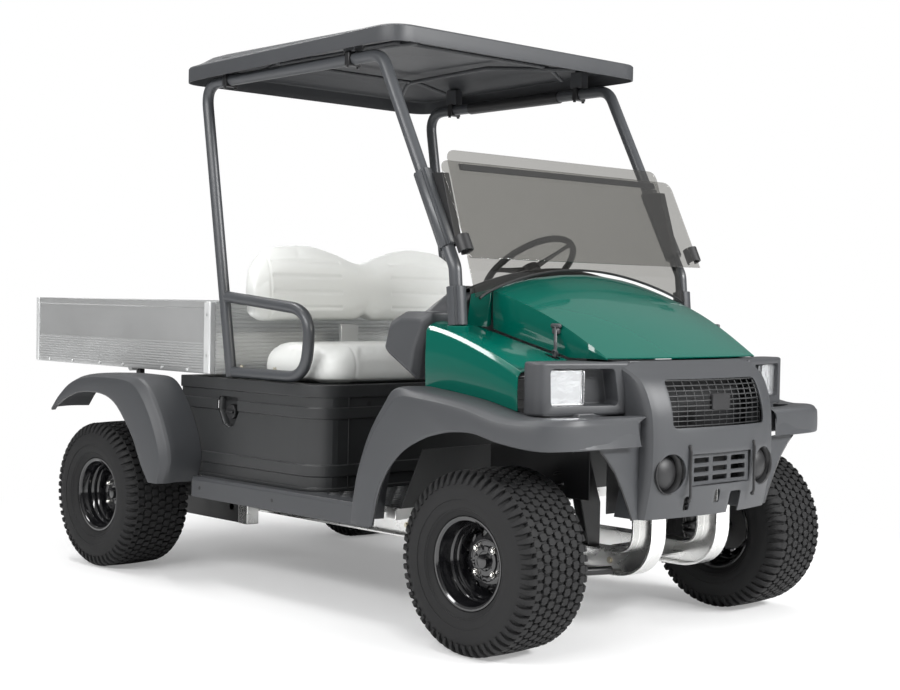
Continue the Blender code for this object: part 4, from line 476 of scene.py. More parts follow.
def walled(item, wall, inside, round_edge=0.0, steps=2, angle=28):
    """Give a sheet its thickness, away from its outer face, and round its edges and creases."""
    bpy.ops.object.select_all(action="DESELECT")
    bpy.context.view_layer.objects.active = item
    middle = Vector(inside)
    biggest = max(item.data.polygons, key=lambda face: face.area)
    outward = (biggest.center - middle).dot(biggest.normal) > 0
    if not outward:
        item.data.flip_normals()
    thick = item.modifiers.new("wall", "SOLIDIFY")
    thick.thickness = wall
    thick.offset = -1
    thick.use_even_offset = True
    thick.use_quality_normals = True
    apply_all(item)
    if round_edge:
        rounded(item, round_edge, steps, angle)
    return settle(item)


def rounded(item, width, steps=2, angle=30):
    edge = item.modifiers.new("round", "BEVEL")
    edge.width = width
    edge.segments = steps
    edge.limit_method = "ANGLE"
    edge.angle_limit = math.radians(angle)
    edge.use_clamp_overlap = True
    apply_all(item)
    return item


def block(name, low, high, width=0.002, steps=2):
    """A bar or plate between any two opposite corners, with eased edges."""
    low, high = Vector(map(min, low, high)), Vector(map(max, low, high))
    bpy.ops.mesh.primitive_cube_add(size=1, location=(low + high) / 2)
    item = bpy.context.object
    item.name = name
    item.scale = high - low
    settle(item)
    return settle(rounded(item, min(width, min(high - low) * 0.4), steps)) if width else item


def drawn_out(name, points, way):
    """One flat face extruded by a vector."""
    data = bpy.data.meshes.new(name)
    data.from_pydata(points, [], [tuple(range(len(points)))])
    item = placed(name, data)
    only(item)
    bpy.ops.object.mode_set(mode="EDIT")
    bpy.ops.mesh.select_all(action="SELECT")
    bpy.ops.mesh.extrude_region_move(TRANSFORM_OT_translate={"value": way})
    bpy.ops.object.mode_set(mode="OBJECT")
    return settle(item)


def prism(name, outline, axis, start, end, width=0.0, steps=2, angle=30):
    """A flat outline drawn as one face, extruded along an axis, with eased edges."""
    start, end = sorted((start, end))
    spots = {"X": lambda u, v, w: (w, u, v), "Y": lambda u, v, w: (u, w, v), "Z": lambda u, v, w: (u, v, w)}[axis]
    item = drawn_out(name, [spots(u, v, start) for u, v in outline], spots(0, 0, end - start))
    return settle(rounded(item, width, steps, angle)) if width else item


def rod(name, start, end, radius, sides=32, width=0.0, tip=None):
    """A round bar between two points, tapered when a tip radius is given."""
    start, end = Vector(start), Vector(end)
    bpy.ops.mesh.primitive_cone_add(vertices=sides, radius1=radius, radius2=radius if tip is None else tip,
                                    depth=(end - start).length, location=(start + end) / 2)
    item = bpy.context.object
    item.name = name
    item.rotation_euler = (end - start).to_track_quat("Z", "Y").to_euler()
    settle(item)
    return settle(rounded(item, width)) if width else item


def pin(name, x, z, y_start, y_end, radius, *shape, **more):
    """A round bar straight across the vehicle."""
    return rod(name, (x, y_start, z), (x, y_end, z), radius, *shape, **more)


def bent(points, radius, steps=8):
    """Round the corners of a line of points."""
    points = [Vector(p) for p in points]
    made = [points[0]]
    for before, corner, after in zip(points, points[1:], points[2:]):
        one, two = (before - corner).normalized(), (after - corner).normalized()
        reach = min(radius / math.tan(one.angle(two) / 2), (before - corner).length * 0.49,
                    (after - corner).length * 0.49)
        for i in range(steps + 1):
            t = i / steps
            made.append((corner + one * reach).lerp(corner, t).lerp(corner.lerp(corner + two * reach, t), t))
    return made + [points[-1]]


def pipe(name, points, radius, sides=16, loop=False):
    """A tube drawn as a curve with a round bevel, then turned into a mesh."""
    line = bpy.data.curves.new(name, "CURVE")
    line.dimensions = "3D"
    line.bevel_depth = radius
    line.bevel_resolution = max(sides // 4 - 1, 0)
    line.use_fill_caps = not loop
    run = line.splines.new("POLY")
    run.points.add(len(points) - 1)
    for point, place in zip(run.points, points):
        point.co = (*place, 1)
    run.use_cyclic_u = loop
    item = placed(name, line)
    only(item)
    bpy.ops.object.convert(target="MESH")
    return settle(bpy.context.object, 40)


def mirror_copy(item, name):
    made = placed(name, item.data.copy())
    made.data.transform(Matrix.Scale(-1, 4, (0, 1, 0)))
    made.data.flip_normals()
    return made


def hex_bolt(place, along, size=0.012, thick=0.007):
    """A washer and a six-sided head."""
    place, along = Vector(place), Vector(along).normalized()
    washer = rod("washer", place, place + along * 0.0015, size * 0.85, 20)
    head = rod("head", place + along * 0.0015, place + along * thick, size * 0.58, 6)
    return joined([washer, head], "bolt")


bright_metal = finish("bright_metal", (0.78, 0.78, 0.77), 0.26, 1.0, grain=0.12, grain_scale=90, depth=0.0006,
                      cloud=0.16, cloud_scale=9, gloss=(0.18, 0.38))
black_metal = finish("black_metal", (0.012, 0.012, 0.013), 0.35, grain=0.25, grain_scale=260, depth=0.0004,
                     cloud=0.25, cloud_scale=8, gloss=(0.25, 0.5))
zinc_bolt = finish("zinc_bolt", (0.62, 0.58, 0.48), 0.3, 1.0, cloud=0.2, cloud_scale=40, gloss=(0.2, 0.45))

rail_y, rail_z = 0.165, 0.245
rail_line = bent([(-0.6, 0, rail_z), (1.4, 0, rail_z), (1.4, 0, 0.469)], 0.17, 12)
i_section = [(-0.035, -0.04), (0.035, -0.04), (0.035, -0.032), (0.004, -0.032), (0.004, 0.032), (0.035, 0.032),
             (0.035, 0.04), (-0.035, 0.04), (-0.035, 0.032), (-0.004, 0.032), (-0.004, -0.032), (-0.035, -0.032)]
rails = []
for y in (rail_y, -rail_y):
    rings = []
    for i, centre in enumerate(rail_line):
        along = (rail_line[min(i + 1, len(rail_line) - 1)] - rail_line[max(i - 1, 0)]).normalized()
        up = Vector((-along.z, 0, along.x))
        rings.append([centre + Vector((0, y + u, 0)) + up * v for u, v in i_section])
    rails.append(rounded(skin("rail", rings, 1, closed=True), 0.0012, 1))
for x in (-0.45, -0.075, 0.635):
    rails.append(block("outrigger", (x - 0.025, -0.55, 0.335), (x + 0.025, 0.55, 0.3847), 0.004))
    for side in (1, -1):
        rails.append(block("riser", (x - 0.022, side * rail_y - 0.024, 0.283),
                           (x + 0.022, side * rail_y + 0.024, 0.34)))
rails.append(block("cross_plate", (1.05, -0.162, 0.237), (1.28, 0.162, 0.243), 0.001))
rails.append(block("cross_box", (1.14, -0.163, 0.222), (1.19, 0.163, 0.268), 0.004))
frame_piece = joined(rails, "aluminium_frame")
fit(settle(frame_piece), bright_metal, "satin_aluminium", "frame")
tower_line = ((0.1425, 0.282), (0.195, 0.282), (0.255, 0.5), (0.255, 0.598), (0.21, 0.598), (0.1425, 0.42))
towers = []
for side in (1, -1):
    for x in (1.1475, 1.18):
        towers.append(prism("tower", [(side * u, z) for u, z in tower_line], "X", x, x + 0.004, 0.0012))
    towers.append(block("liner", (0.87, side * 0.325, 0.45), (1.295, side * 0.329, 0.715), 0.001, 1))
    for x, z in ((1.13, 0.64), (1.22, 0.6), (1.05, 0.6)):
        towers.append(pin("liner_plug", x, z, side * 0.328, side * 0.3318, 0.011, 16, 0.001))
fit(settle(joined(towers, "shock_towers")), black_metal, "black_steel")
frame_bolts = []
for x in (-0.45, -0.075, 0.3, 0.635, 1.08, 1.25):
    for side in (1, -1):
        frame_bolts.append(hex_bolt((x, side * 0.1695, rail_z), (0, side, 0), 0.013))
fit(joined(frame_bolts, "frame_bolts"), zinc_bolt, "bright_aluminium")

# Rear frame: a black welded ladder over the axle with the hitch tongue and the bed's hinge posts.
# The engine sits on it as one plain block with a fan cover and an exhaust box beside it.
hinge_x, hinge_z = -1.36, 0.741
rear = [block("side_tube", (-1.418, s * 0.25 - 0.025, 0.4005), (-0.562, s * 0.25 + 0.025, 0.4495), 0.005, 3)
        for s in (1, -1)]
for x in (-1.394, -0.786, -0.586):
    rear.append(block("cross", (x - 0.024, -0.246, 0.402), (x + 0.024, 0.246, 0.448), 0.005, 3))
for side in (1, -1):
    y0, y1 = sorted((side * 0.207, side * 0.2315))
    rear.append(block("hinge_post", (hinge_x - 0.0155, y0, 0.44), (hinge_x + 0.0155, y1, hinge_z), 0.003))
    rear.append(pin("hinge_eye", hinge_x, hinge_z, y0, y1, 0.0158, 24))
    rear.append(block("bed_rest", (-0.634, side * 0.226, 0.44), (-0.586, side * 0.274, 0.766), 0.004))
    rear.append(block("foot", (-0.599, side * 0.142, 0.286), (-0.561, side * 0.274, 0.424), 0.004))
    rear.append(rod("hitch_bolt", (-1.47, side * 0.022, 0.4245), (-1.47, side * 0.022, 0.42), 0.008, 6))
rear.append(block("tongue", (-1.519, -0.034, 0.4005), (-1.396, 0.034, 0.4245), 0.004))
fit(settle(joined(rear, "black_rear_frame")), black_metal, "black_steel", "rear_frame")
cast_iron = finish("cast_iron", (0.1, 0.1, 0.1), 0.55, 0.7, grain=0.5, grain_scale=220, depth=0.0007, cloud=0.3,
                   cloud_scale=7, gloss=(0.42, 0.7))
engine = [block("crankcase", (-0.757, -0.186, 0.4515), (-0.345, 0.12, 0.64), 0.012, 3),
          block("head", (-0.7, -0.15, 0.63), (-0.48, 0.08, 0.6995), 0.01, 3),
          block("exhaust_box", (-0.69, 0.118, 0.47), (-0.4, 0.1895, 0.62), 0.02, 4)]
for i in range(9):
    engine.append(block("fin", (-0.706, -0.156 + 0.026 * i, 0.64), (-0.474, -0.152 + 0.026 * i, 0.694), 0.001, 1))
engine.append(rod("fan_cover", (-0.345, -0.033, 0.545), (-0.3405, -0.033, 0.545), 0.075, 40))
fit(settle(joined(engine, "engine_block")), cast_iron, "cast_metal", "engine")

# Rear axle: a cast gear case with tapered tubes out to the wheels, under the black frame.
# Two perches hold it under the ladder, and ten bolts close the case.
case_bolts, bolt_circle = 10, 0.082
axle = [pin("tube", rear_axle_x, axle_z, -0.624, 0.624, 0.0335, 28),
        pin("stub", rear_axle_x, axle_z, -0.656, 0.656, 0.0195, 24),
        pin("case", rear_axle_x, axle_z, -0.108, 0.108, 0.094, 36, 0.012),
        pin("drum", rear_axle_x, axle_z, 0.56, 0.6, 0.033, 36)]
for side in (1, -1):
    axle.append(pin("cone", rear_axle_x, axle_z, side * 0.1, side * 0.23, 0.06, 28, tip=0.034))
    axle.append(block("perch", (-0.869, side * 0.25 - 0.024, 0.282), (-0.821, side * 0.25 + 0.024, 0.399), 0.004))
for i in range(case_bolts):
    angle = math.tau * i / case_bolts
    x, z = rear_axle_x + bolt_circle * math.cos(angle), axle_z + bolt_circle * math.sin(angle)
    axle.append(pin("case_bolt", x, z, -0.1085, 0.1085, 0.006, 6))
fit(settle(joined(axle, "drive_axle")), cast_iron, "cast_metal", "rear_axle")

# Front suspension: pressed lower arms, black coil springs on their shocks, and cast knuckles.
# The spring is one coil wound round the shock body, held between two cups.
arm_z, kingpin_y = 0.222, 0.53
coil_turns, coil_steps = 7.0, 168
both_sides = ((1, "left"), (-1, "right"))
for side, tag in both_sides:
    arm = [pipe("arm", bent([(inner_x, side * 0.2045, arm_z), (outer_x, side * 0.47, arm_z),
                             (front_axle_x, side * 0.52, arm_z)], 0.05), 0.0135, 16)
           for inner_x, outer_x in ((1.045, 1.145), (1.285, 1.185))]
    arm.append(block("web", (1.125, side * 0.36, 0.2145), (1.205, side * 0.42, 0.2295), 0.003))
    foot, head = Vector((front_axle_x, side * 0.385, 0.226)), Vector((front_axle_x, side * 0.292, 0.556))
    line = head - foot
    arm.append(rod("shock_body", foot, foot + line * 0.55, 0.0175, 28, 0.002))
    arm.append(rod("shock_rod", foot + line * 0.5, head, 0.0075, 20))
    arm.append(rod("low_cup", foot + line * 0.16, foot + line * 0.19, 0.0325, 32, 0.002))
    arm.append(rod("high_cup", foot + line * 0.92, foot + line * 0.95, 0.0325, 32, 0.002))
    out = line.normalized().orthogonal().normalized()
    over = line.normalized().cross(out)
    coil = []
    for k in range(coil_steps + 1):
        angle = math.tau * coil_turns * k / coil_steps
        coil.append(foot + line * (0.19 + 0.73 * k / coil_steps)
                    + (out * math.cos(angle) + over * math.sin(angle)) * 0.0275)
    arm.append(pipe("coil", coil, 0.0055, 8))
    fit(settle(joined(arm, "coil_over_" + tag), 40), black_metal, "black_steel", "suspension_" + tag)
    king_y = side * kingpin_y
    knuckle = [pin("stub", front_axle_x, axle_z, king_y, side * 0.636, 0.0195, 24),
               pin("backing", front_axle_x, axle_z, side * 0.577, side * 0.604, 0.084, 48, 0.004),
               rod("kingpin", (front_axle_x, king_y, 0.24), (front_axle_x, king_y, 0.353), 0.017, 28, 0.003),
               block("yoke", (1.141, king_y - 0.022, 0.262), (1.189, king_y + 0.022, 0.3), 0.006, 3),
               block("steer_arm", (1.066, side * 0.507, 0.268), (front_axle_x, side * 0.5165, 0.2905), 0.003)]
    fit(settle(joined(knuckle, "cast_knuckle_" + tag)), cast_iron, "cast_metal", "knuckle_" + tag,
        body="knuckle_" + tag)

# Floor and rockers: black moulded floor with a raised diamond tread and a sloping toe board.
# The charcoal rocker strips are screwed along both edges.
tread_pitch = 0.031
charcoal = finish("charcoal_moulding", (0.042, 0.044, 0.048), 0.46, grain=0.35, grain_scale=620, depth=0.0004,
                  cloud=0.08, cloud_scale=5, gloss=(0.42, 0.54))
dark_moulding = finish("dark_moulding", (0.022, 0.023, 0.024), 0.36, grain=0.3, grain_scale=420, depth=0.0005,
                       cloud=0.2, cloud_scale=7, gloss=(0.32, 0.5))
black_trim = finish("black_trim", (0.01, 0.01, 0.011), 0.45, grain=0.3, grain_scale=500, depth=0.0003,
                    cloud=0.25, cloud_scale=10, gloss=(0.35, 0.6))

deck = prism("deck", [(0.192, 0.3853), (0.735, 0.3853), (0.8345, 0.5845), (0.829, 0.5845), (0.7325, 0.3905),
                      (0.192, 0.3905)], "Y", -0.598, 0.598, 0.001, 1)
treads = bmesh.new()
for i in range(17):
    for j in range(38):
        x, y = 0.215 + tread_pitch * i, -0.574 + tread_pitch * j
        turn = 1 if (i + j) % 2 else -1
        ring = [(0.011, 0.011), (-0.0022, 0.0022), (-0.011, -0.011), (0.0022, -0.0022)]
        low = [treads.verts.new((x + u, y + v * turn, 0.39)) for u, v in ring]
        high = [treads.verts.new((x + u * 0.7, y + v * 0.7 * turn, 0.3922)) for u, v in ring]
        for k in range(4):
            treads.faces.new((low[k], low[(k + 1) % 4], high[(k + 1) % 4], high[k]))
        treads.faces.new(high)
tread_mesh = bpy.data.meshes.new("treads")
treads.to_mesh(tread_mesh)
treads.free()
tread_plate = placed("treads", tread_mesh)
fit(joined([deck, settle(tread_plate)], "treaded_floor"), dark_moulding, "charcoal_plastic", "floor_pan")
rockers, rocker_screws = [], []
for side in (1, -1):
    strip = [(0.552, 0.3855), (0.644, 0.3855), (0.644, 0.316), (0.6495, 0.316), (0.6495, 0.38), (0.642, 0.3908),
             (0.552, 0.3908)]
    rockers.append(prism("rocker", [(y * side, z) for y, z in strip], "X", -0.351, 0.641, 0.0022, 2))
    for x in (-0.3, 0.13, 0.56):
        rocker_screws.append(pin("screw", x, 0.352, side * 0.6475, side * 0.6499, 0.007, 20, 0.001))
fit(joined(rockers, "rocker_strips"), charcoal, "charcoal_plastic")
fit(joined(rocker_screws, "rocker_screws"), black_trim, "black_steel")

# Seat body: one deep black moulding under the bench, with raised bands round its sides.
# A seam runs down at each rounded front corner, and a cap stands in a moulded recess on each side.
body_low, body_tall = 0.3915, 0.365


def mix(a, b, share):
    return a + (b - a) * share


plan = bent([(-0.4995, 0.6, 0), (0.32, 0.6, 0), (0.32, -0.6, 0), (-0.4995, -0.6, 0)], 0.13, 10)
band_levels = ((0.0, 1), (0.028, 1), (0.034, 0), (0.136, 0), (0.142, 1), (0.245, 1), (0.251, 0), (0.68, 0),
               (0.686, 1), (0.785, 1), (0.791, 0), (0.88, 0), (0.886, 1), (0.985, 1), (1.0, 0.9))
rows = []
for height, raised in band_levels:
    inset = 0.007 * (1 - raised)
    centre = Vector((-0.09, 0, 0))
    rows.append([(min(p.x, 0.3195 - inset) if p.x > -0.49 else p.x,
                  math.copysign(min(abs(p.y), 0.5995) - inset, p.y), body_low + body_tall * height) for p in plan])
tub = walled(skin("tub", rows, 1), 0.005, (-0.1, 0, 0.57), 0.0025, 2, 35)
top_plan = [(p.x - 0.001 if p.x > 0 else p.x, p.y * 0.998) for p in plan]
top_plate = prism("top_plate", top_plan, "Z", 0.748, 0.7565, 0.003, 2)
seat_tub = joined([tub, top_plate], "seat_tub")
cups, caps = [], []
shield = bent([(-0.205, 0.692, 0), (-0.146, 0.692, 0), (-0.143, 0.64, 0), (-0.172, 0.588, 0), (-0.205, 0.576, 0),
               (-0.238, 0.588, 0), (-0.267, 0.64, 0), (-0.264, 0.692, 0), (-0.205, 0.692, 0)], 0.016, 5)[:-1]
for side in (1, -1):
    opening = prism("opening", [(p.x, p.y) for p in shield], "Y", side * 0.561, side * 0.63)
    wider = [(mix(-0.205, p.x, 1.09), mix(0.64, p.y, 1.09)) for p in shield]
    cup = prism("cup", wider, "Y", side * 0.5555, side * 0.5885)
    carved(seat_tub, opening.copy())
    cups.append(carved(cup, opening))
    caps.append(pin("cap", -0.198, 0.636, side * 0.562, side * 0.59, 0.027, 40, 0.004))
    caps.append(block("grip", (-0.219, side * 0.588, 0.631), (-0.177, side * 0.5975, 0.641), 0.002))
    for z in (0.474, 0.671):
        caps.append(pin("screw", 0.1, z, side * 0.588, side * 0.5942, 0.0115, 20, 0.002))
    caps.append(rod("screw", (0.309, side * 0.37, 0.69), (0.3145, side * 0.37, 0.69), 0.0095, 20, 0.001))
    caps.append(rod("seam", (0.318, side * 0.466, 0.396), (0.318, side * 0.466, 0.754), 0.0018, 8))
fit(settle(seat_tub, 12), dark_moulding, "charcoal_plastic", "seat_body")
fit(joined(cups, "cap_recesses"), dark_moulding, "charcoal_plastic")
fit(joined(caps, "caps_and_screws"), black_trim, "black_steel")

# Green bodywork: glossy moulded side panels with a sharp crease, joined behind the hood by a bridge.
# The hood is one domed skin with a rolled shoulder, held down by two rubber latches.
sheet = 0.0045
panel_rear_x, panel_front_x = 0.8635, 1.2615
hood_rear_x, hood_rear_half, hood_front_half = 0.958, 0.425, 0.375
green_gloss = finish("green_gloss", (0.0, 0.086, 0.062), 0.2, grain=0.06, grain_scale=45, depth=0.0012,
                     cloud=0.05, cloud_scale=3, gloss=(0.18, 0.3),
                     more={"Coat Weight": 0.6, "Specular IOR Level": 0.08, "Coat Roughness": 0.04})


def fender_top(x):
    """Height of the front fender's ridge along the side panel."""
    spots = ((0.65, 0.346), (0.656, 0.42), (0.684, 0.514), (0.723, 0.63), (0.787, 0.7262), (0.847, 0.783),
             (0.966, 0.7786), (1.142, 0.7568), (1.304, 0.7218), (1.42, 0.7218))
    for (x0, z0), (x1, z1) in zip(spots, spots[1:]):
        if x0 <= x <= x1:
            return mix(z0, z1, (x - x0) / (x1 - x0))
    return 0.7218


def shelf_height(x):
    """Height of the shelf beside the hood, which falls to the top of the lamp pods."""
    return mix(0.99, 0.884, min(max((x - panel_rear_x) / 0.398, 0), 1))


def hood_spot(along, across):
    bow = 1 - across * across
    x = mix(hood_rear_x, 1.43 - 0.035 * (1 - bow), along)
    z = mix(1.15, 0.893, along) + 0.022 * math.sin(math.pi * along) - 0.06 * (1 - along) * (1 - bow)
    return Vector((x, mix(hood_rear_half, hood_front_half, along) * across, z))


for side, tag in both_sides:
    rows = []
    for k in range(13):
        along = k / 12
        x = mix(panel_rear_x, panel_front_x, along)
        crease = mix(0.978, 0.85, along ** 1.4)
        share = min(max((x - hood_rear_x) / 0.472, 0), 1)
        half = mix(hood_rear_half, hood_front_half, share) + 0.013
        shelf = shelf_height(x)
        row = [(x, side * 0.6215, fender_top(x) + 0.001), (x, side * 0.6245, mix(fender_top(x), crease, 0.5)),
               (x, side * 0.6215, crease - 0.014), (x, side * 0.608, crease)]
        for w in (0.15, 0.35, 0.55, 0.75, 0.9, 1.0):
            swell = 0.016 * math.sin(math.pi * min(w / 0.6, 1)) * (1 - along) - 0.006 * math.sin(math.pi * w)
            row.append((x, side * mix(0.608, half, w), mix(crease, shelf, w) + swell))
        row.append((x, side * (half - 0.0095), shelf - 0.005))
        rows.append(row)
    panel = skin("panel", rows, 2)
    panel = walled(panel, sheet, (1.05, side * 0.3, 0.75), 0.007, 4, 24)
    hole = rod("latch_hole", (1.218, side * 0.424, 0.86), (1.218, side * 0.424, 0.99), 0.03, 32)
    middle = Vector((0, side * 0.424, 0))
    hole.data.transform(Matrix.Translation(middle) @ Matrix.Scale(0.36, 4, (0, 1, 0)) @ Matrix.Translation(-middle))
    carved(panel, hole)
    foot = rod("post_pad", (0.952, side * 0.57, 0.938), (0.952, side * 0.57, 0.9785), 0.0365, 36, 0.003)
    fit(joined([settle(panel, 40), foot], "green_side_panel_" + tag), green_gloss, "green_paint",
        *(("cowl",) if side > 0 else ()))
    tray = block("latch_tray", (1.18, side * 0.408, 0.872), (1.255, side * 0.44, 0.876))
    fit(tray, black_trim, "black_plastic")

rows = []
for k in range(25):
    across = -1 + k / 12
    top = hood_spot(0, across)
    rows.append([(0.87, top.y * 1.02, top.z - 0.012 - 0.01 * (1 - across * across)),
                 (0.905, top.y * 1.01, top.z - 0.004), (0.9525, top.y, top.z - 0.001),
                 (0.9545, top.y * 0.995, top.z - 0.018)])
ends = []
for side in (-1, 1):
    ends.append([(0.866, side * 0.447, 0.975), (0.905, side * 0.447, 0.975), (0.9525, side * 0.442, 0.975),
                 (0.9545, side * hood_rear_half, 0.98)])
bridge = walled(skin("bridge", [ends[0]] + rows + [ends[1]], 1), 0.004, (0.92, 0, 0.9), 0.006, 3, 24)
fit(bridge, green_gloss, "green_paint")

rows = []
for k in range(17):
    along = k / 16
    edge = hood_spot(along, 1.0)
    drop = max(edge.z - shelf_height(edge.x) - sheet, 0.006)
    row = []
    for across in [-1.0, -0.9, -0.8, -0.65, -0.5, -0.25, 0.0, 0.25, 0.5, 0.65, 0.8, 0.9, 1.0]:
        spot = hood_spot(along, across)
        spot.x += 0.004 * max((abs(across) - 0.8) / 0.2, 0) ** 2 * max(1 - along * 4, 0)
        row.append(spot)
    for end, at in ((row[0], 0), (row[-1], len(row))):
        mid = end + Vector((0.002 * max(1 - along * 4, 0), math.copysign(0.004, end.y), -drop * 0.35))
        low = end + Vector((0.004 * max(1 - along * 4, 0), math.copysign(0.001, end.y), -drop))
        row = [low, mid] + row if at == 0 else row + [mid, low]
    rows.append(row)
hood_skin = walled(skin("hood_skin", rows, 2), sheet, (1.15, 0, 0.9), 0.008, 4, 20)
fit(hood_skin, green_gloss, "green_paint", "hood", body="hood")
rows = []
for k in range(25):
    across = -1 + k / 12
    spot = hood_spot(0.0, across)
    rows.append([(0.951, spot.y * 0.99, spot.z - 0.006), (0.985, spot.y * 0.985, spot.z - 0.012)])
rows = [[(0.952, -0.421, 0.996), (0.99, -0.418, 0.996)]] + rows + [[(0.952, 0.421, 0.996), (0.99, 0.418, 0.996)]]
seal = walled(skin("hood_seal", rows, 1), 0.002, (0.96, 0, 0.8))
fit(seal, black_trim, "black_plastic")
for side, tag in both_sides:
    stem = bent([(1.232, side * 0.426, 0.892), (1.229, side * 0.424, 0.935), (1.214, side * 0.408, 0.983)], 0.01)
    strap = [pipe("strap", stem, 0.0052, 12),
             block("head", (1.194, side * 0.398, 0.978), (1.232, side * 0.412, 0.992), 0.005, 3),
             block("cleat", (1.201, side * 0.396, 0.96), (1.226, side * 0.412, 0.978), 0.004, 2)]
    ring = [Vector((1.232 + 0.009 * math.cos(a), side * (0.428 + 0.003 * math.sin(a)), 0.902 + 0.009 * math.sin(a)))
            for a in [math.tau * i / 24 for i in range(24)]]
    strap.append(pipe("ring", ring, 0.004, 8, loop=True))
    fit(joined(strap, "rubber_latch_" + tag), charcoal, "black_plastic")

# Fenders: charcoal flexible mouldings with a rolled ridge and a turned-in lip round each arch.
# They are screwed to the body along their inner edge.
body_side_y = 0.6005
front_table = ((0.004, None, 0.0, 0.0, 0.138, 0.0, 1.0), (0.014, None, 0.007, 0.17, 0.168, 0.23, 1.0),
               (0.04, None, 0.03, 0.385, 0.22, 0.42, 1.0), (0.085, None, 0.085, 0.65, 0.3, 0.575, 1.0),
               (0.16, None, 0.16, 0.87, 0.4, 0.68, 1.0), (0.23, None, 0.23, 1.0, 0.47, 0.725, 1.0),
               (0.37, None, 0.37, 0.99, 0.55, 0.75, 1.0), (0.575, None, 0.575, 0.94, 0.65, 0.75, 0.995),
               (0.765, None, 0.765, 0.86, 0.765, 0.7, 0.985), (0.86, 0.78, 0.9, 0.86, 0.9, 0.665, 0.94),
               (0.9, 0.7, 0.97, 0.86, 0.97, 0.665, 0.82), (0.92, 0.6, 0.992, 0.86, 0.992, 0.665, 0.66),
               (0.93, 0.43, 1.0, 0.86, 1.0, 0.665, 0.47))
rear_table = ((0.04, None, 0.04, 0.0, 0.125, 0.0, 1.0), (0.0, None, 0.0, 0.24, 0.185, 0.16, 1.0),
              (0.04, None, 0.045, 0.52, 0.25, 0.39, 1.0), (0.13, None, 0.13, 0.8, 0.325, 0.57, 1.0),
              (0.23, None, 0.235, 0.97, 0.425, 0.74, 1.0), (0.38, None, 0.385, 1.0, 0.55, 0.81, 1.0),
              (0.64, None, 0.64, 0.99, 0.74, 0.8, 1.0), (0.8, None, 0.8, 0.93, 0.88, 0.72, 1.0),
              (0.92, None, 0.92, 0.78, 0.96, 0.64, 1.0), (1.0, None, 1.0, 0.62, 1.0, 0.58, 1.0))
for name, table, x_start, x_run, z_start, z_run, half in (
        ("front_fender", front_table, 0.65, 0.855, 0.346, 0.437, 0.76),
        ("rear_fender", rear_table, -0.36, -0.79, 0.365, 0.385, 0.768)):
    rows = []
    for root_u, root_w, top_u, top_v, low_u, low_v, out_w in table:
        out = half * out_w
        root_y = body_side_y if root_w is None else half * root_w
        face_u, face_v = mix(top_u, low_u, 0.3), mix(top_v, low_v, 0.3)
        row = ((root_u, root_y, top_v, 0), (mix(root_u, top_u, 0.6), mix(root_y, out - 0.035, 0.6), top_v, 0.002),
               (top_u, out - 0.034, top_v, 0), (mix(top_u, face_u, 0.5), out - 0.012, mix(top_v, face_v, 0.45), 0),
               (face_u, out - 0.001, face_v, 0), (low_u, out, low_v, 0), (low_u, out - 0.0175, low_v, 0))
        rows.append([(x_start + x_run * u, y, z_start + z_run * v + lift) for u, y, v, lift in row])
    shell = skin(name, rows, 5, 3, curved=True)
    shell = walled(shell, sheet, (x_start + x_run * 0.5, 0.55, 0.3), sheet, 3, 16)
    other = mirror_copy(shell, name + "_right_skin")
    fit(shell, charcoal, "charcoal_plastic", name + "_left").name = name + "_left_skin"
    fit(other, charcoal, "charcoal_plastic", name + "_right")

# Nose: a thick charcoal moulding that bows forward between the lamps and carries the bumpers.
# Its openings are moulded in: the grille's, the lower plate's, two round recesses and the tow holes.
nose_tip_x, nose_half, nose_bow, nose_rake = 1.5575, 0.318, 0.035, 0.122
nose_low, nose_high = 0.4105, 0.8845
bumper_y, bumper_z, bumper_bore = 0.235, 0.549, 0.0597
levels = ((0.0, 0.22, 1.0), (0.1, 0.13, 1.0), (0.3, 0.0, 1.0), (0.58, 0.0, 1.0), (0.74, 0.1, 1.01),
          (0.88, 0.36, 1.03), (0.96, 0.78, 1.08), (1.0, 1.0, 1.1))
across_line = [(1.0, 1.0), (1.0, 0.62), (1.0, 0.34), (0.99, 0.16), (0.96, 0.05), (0.9, 0.01), (0.75, 0.0),
               (0.5, 0.0), (0.25, 0.0), (0.0, 0.0)]
across_line = across_line + [(-a, b) for a, b in reversed(across_line[:-1])]
rows = []
for height, back, wide in levels:
    nose, half = nose_tip_x - nose_rake * back, nose_half * wide
    z = mix(nose_low, nose_high, height)
    rows.append([(nose - nose_bow * a * a - 0.11 * b, half * a, z) for a, b in across_line])
nose_skin = skin("nose_skin", rows, 6, 2)
nose_skin = walled(nose_skin, 0.0055, (1.4, 0, 0.64))


def round_loop(y0, y1, z0, z1, radius, steps=6):
    """A rectangle with round corners, from the middle of its lower edge."""
    middle = (y0 + y1) / 2
    return bent([(middle, z0, 0), (y1, z0, 0), (y1, z1, 0), (y0, z1, 0), (y0, z0, 0), (middle, z0, 0)],
                radius, steps)[:-1]


def round_slot(name, y0, y1, z0, z1, radius, x0=1.44, x1=1.62):
    """A cutter with round corners that reaches through the nose."""
    return prism(name, [(p.x, p.y) for p in round_loop(y0, y1, z0, z1, radius)], "X", x0, x1)


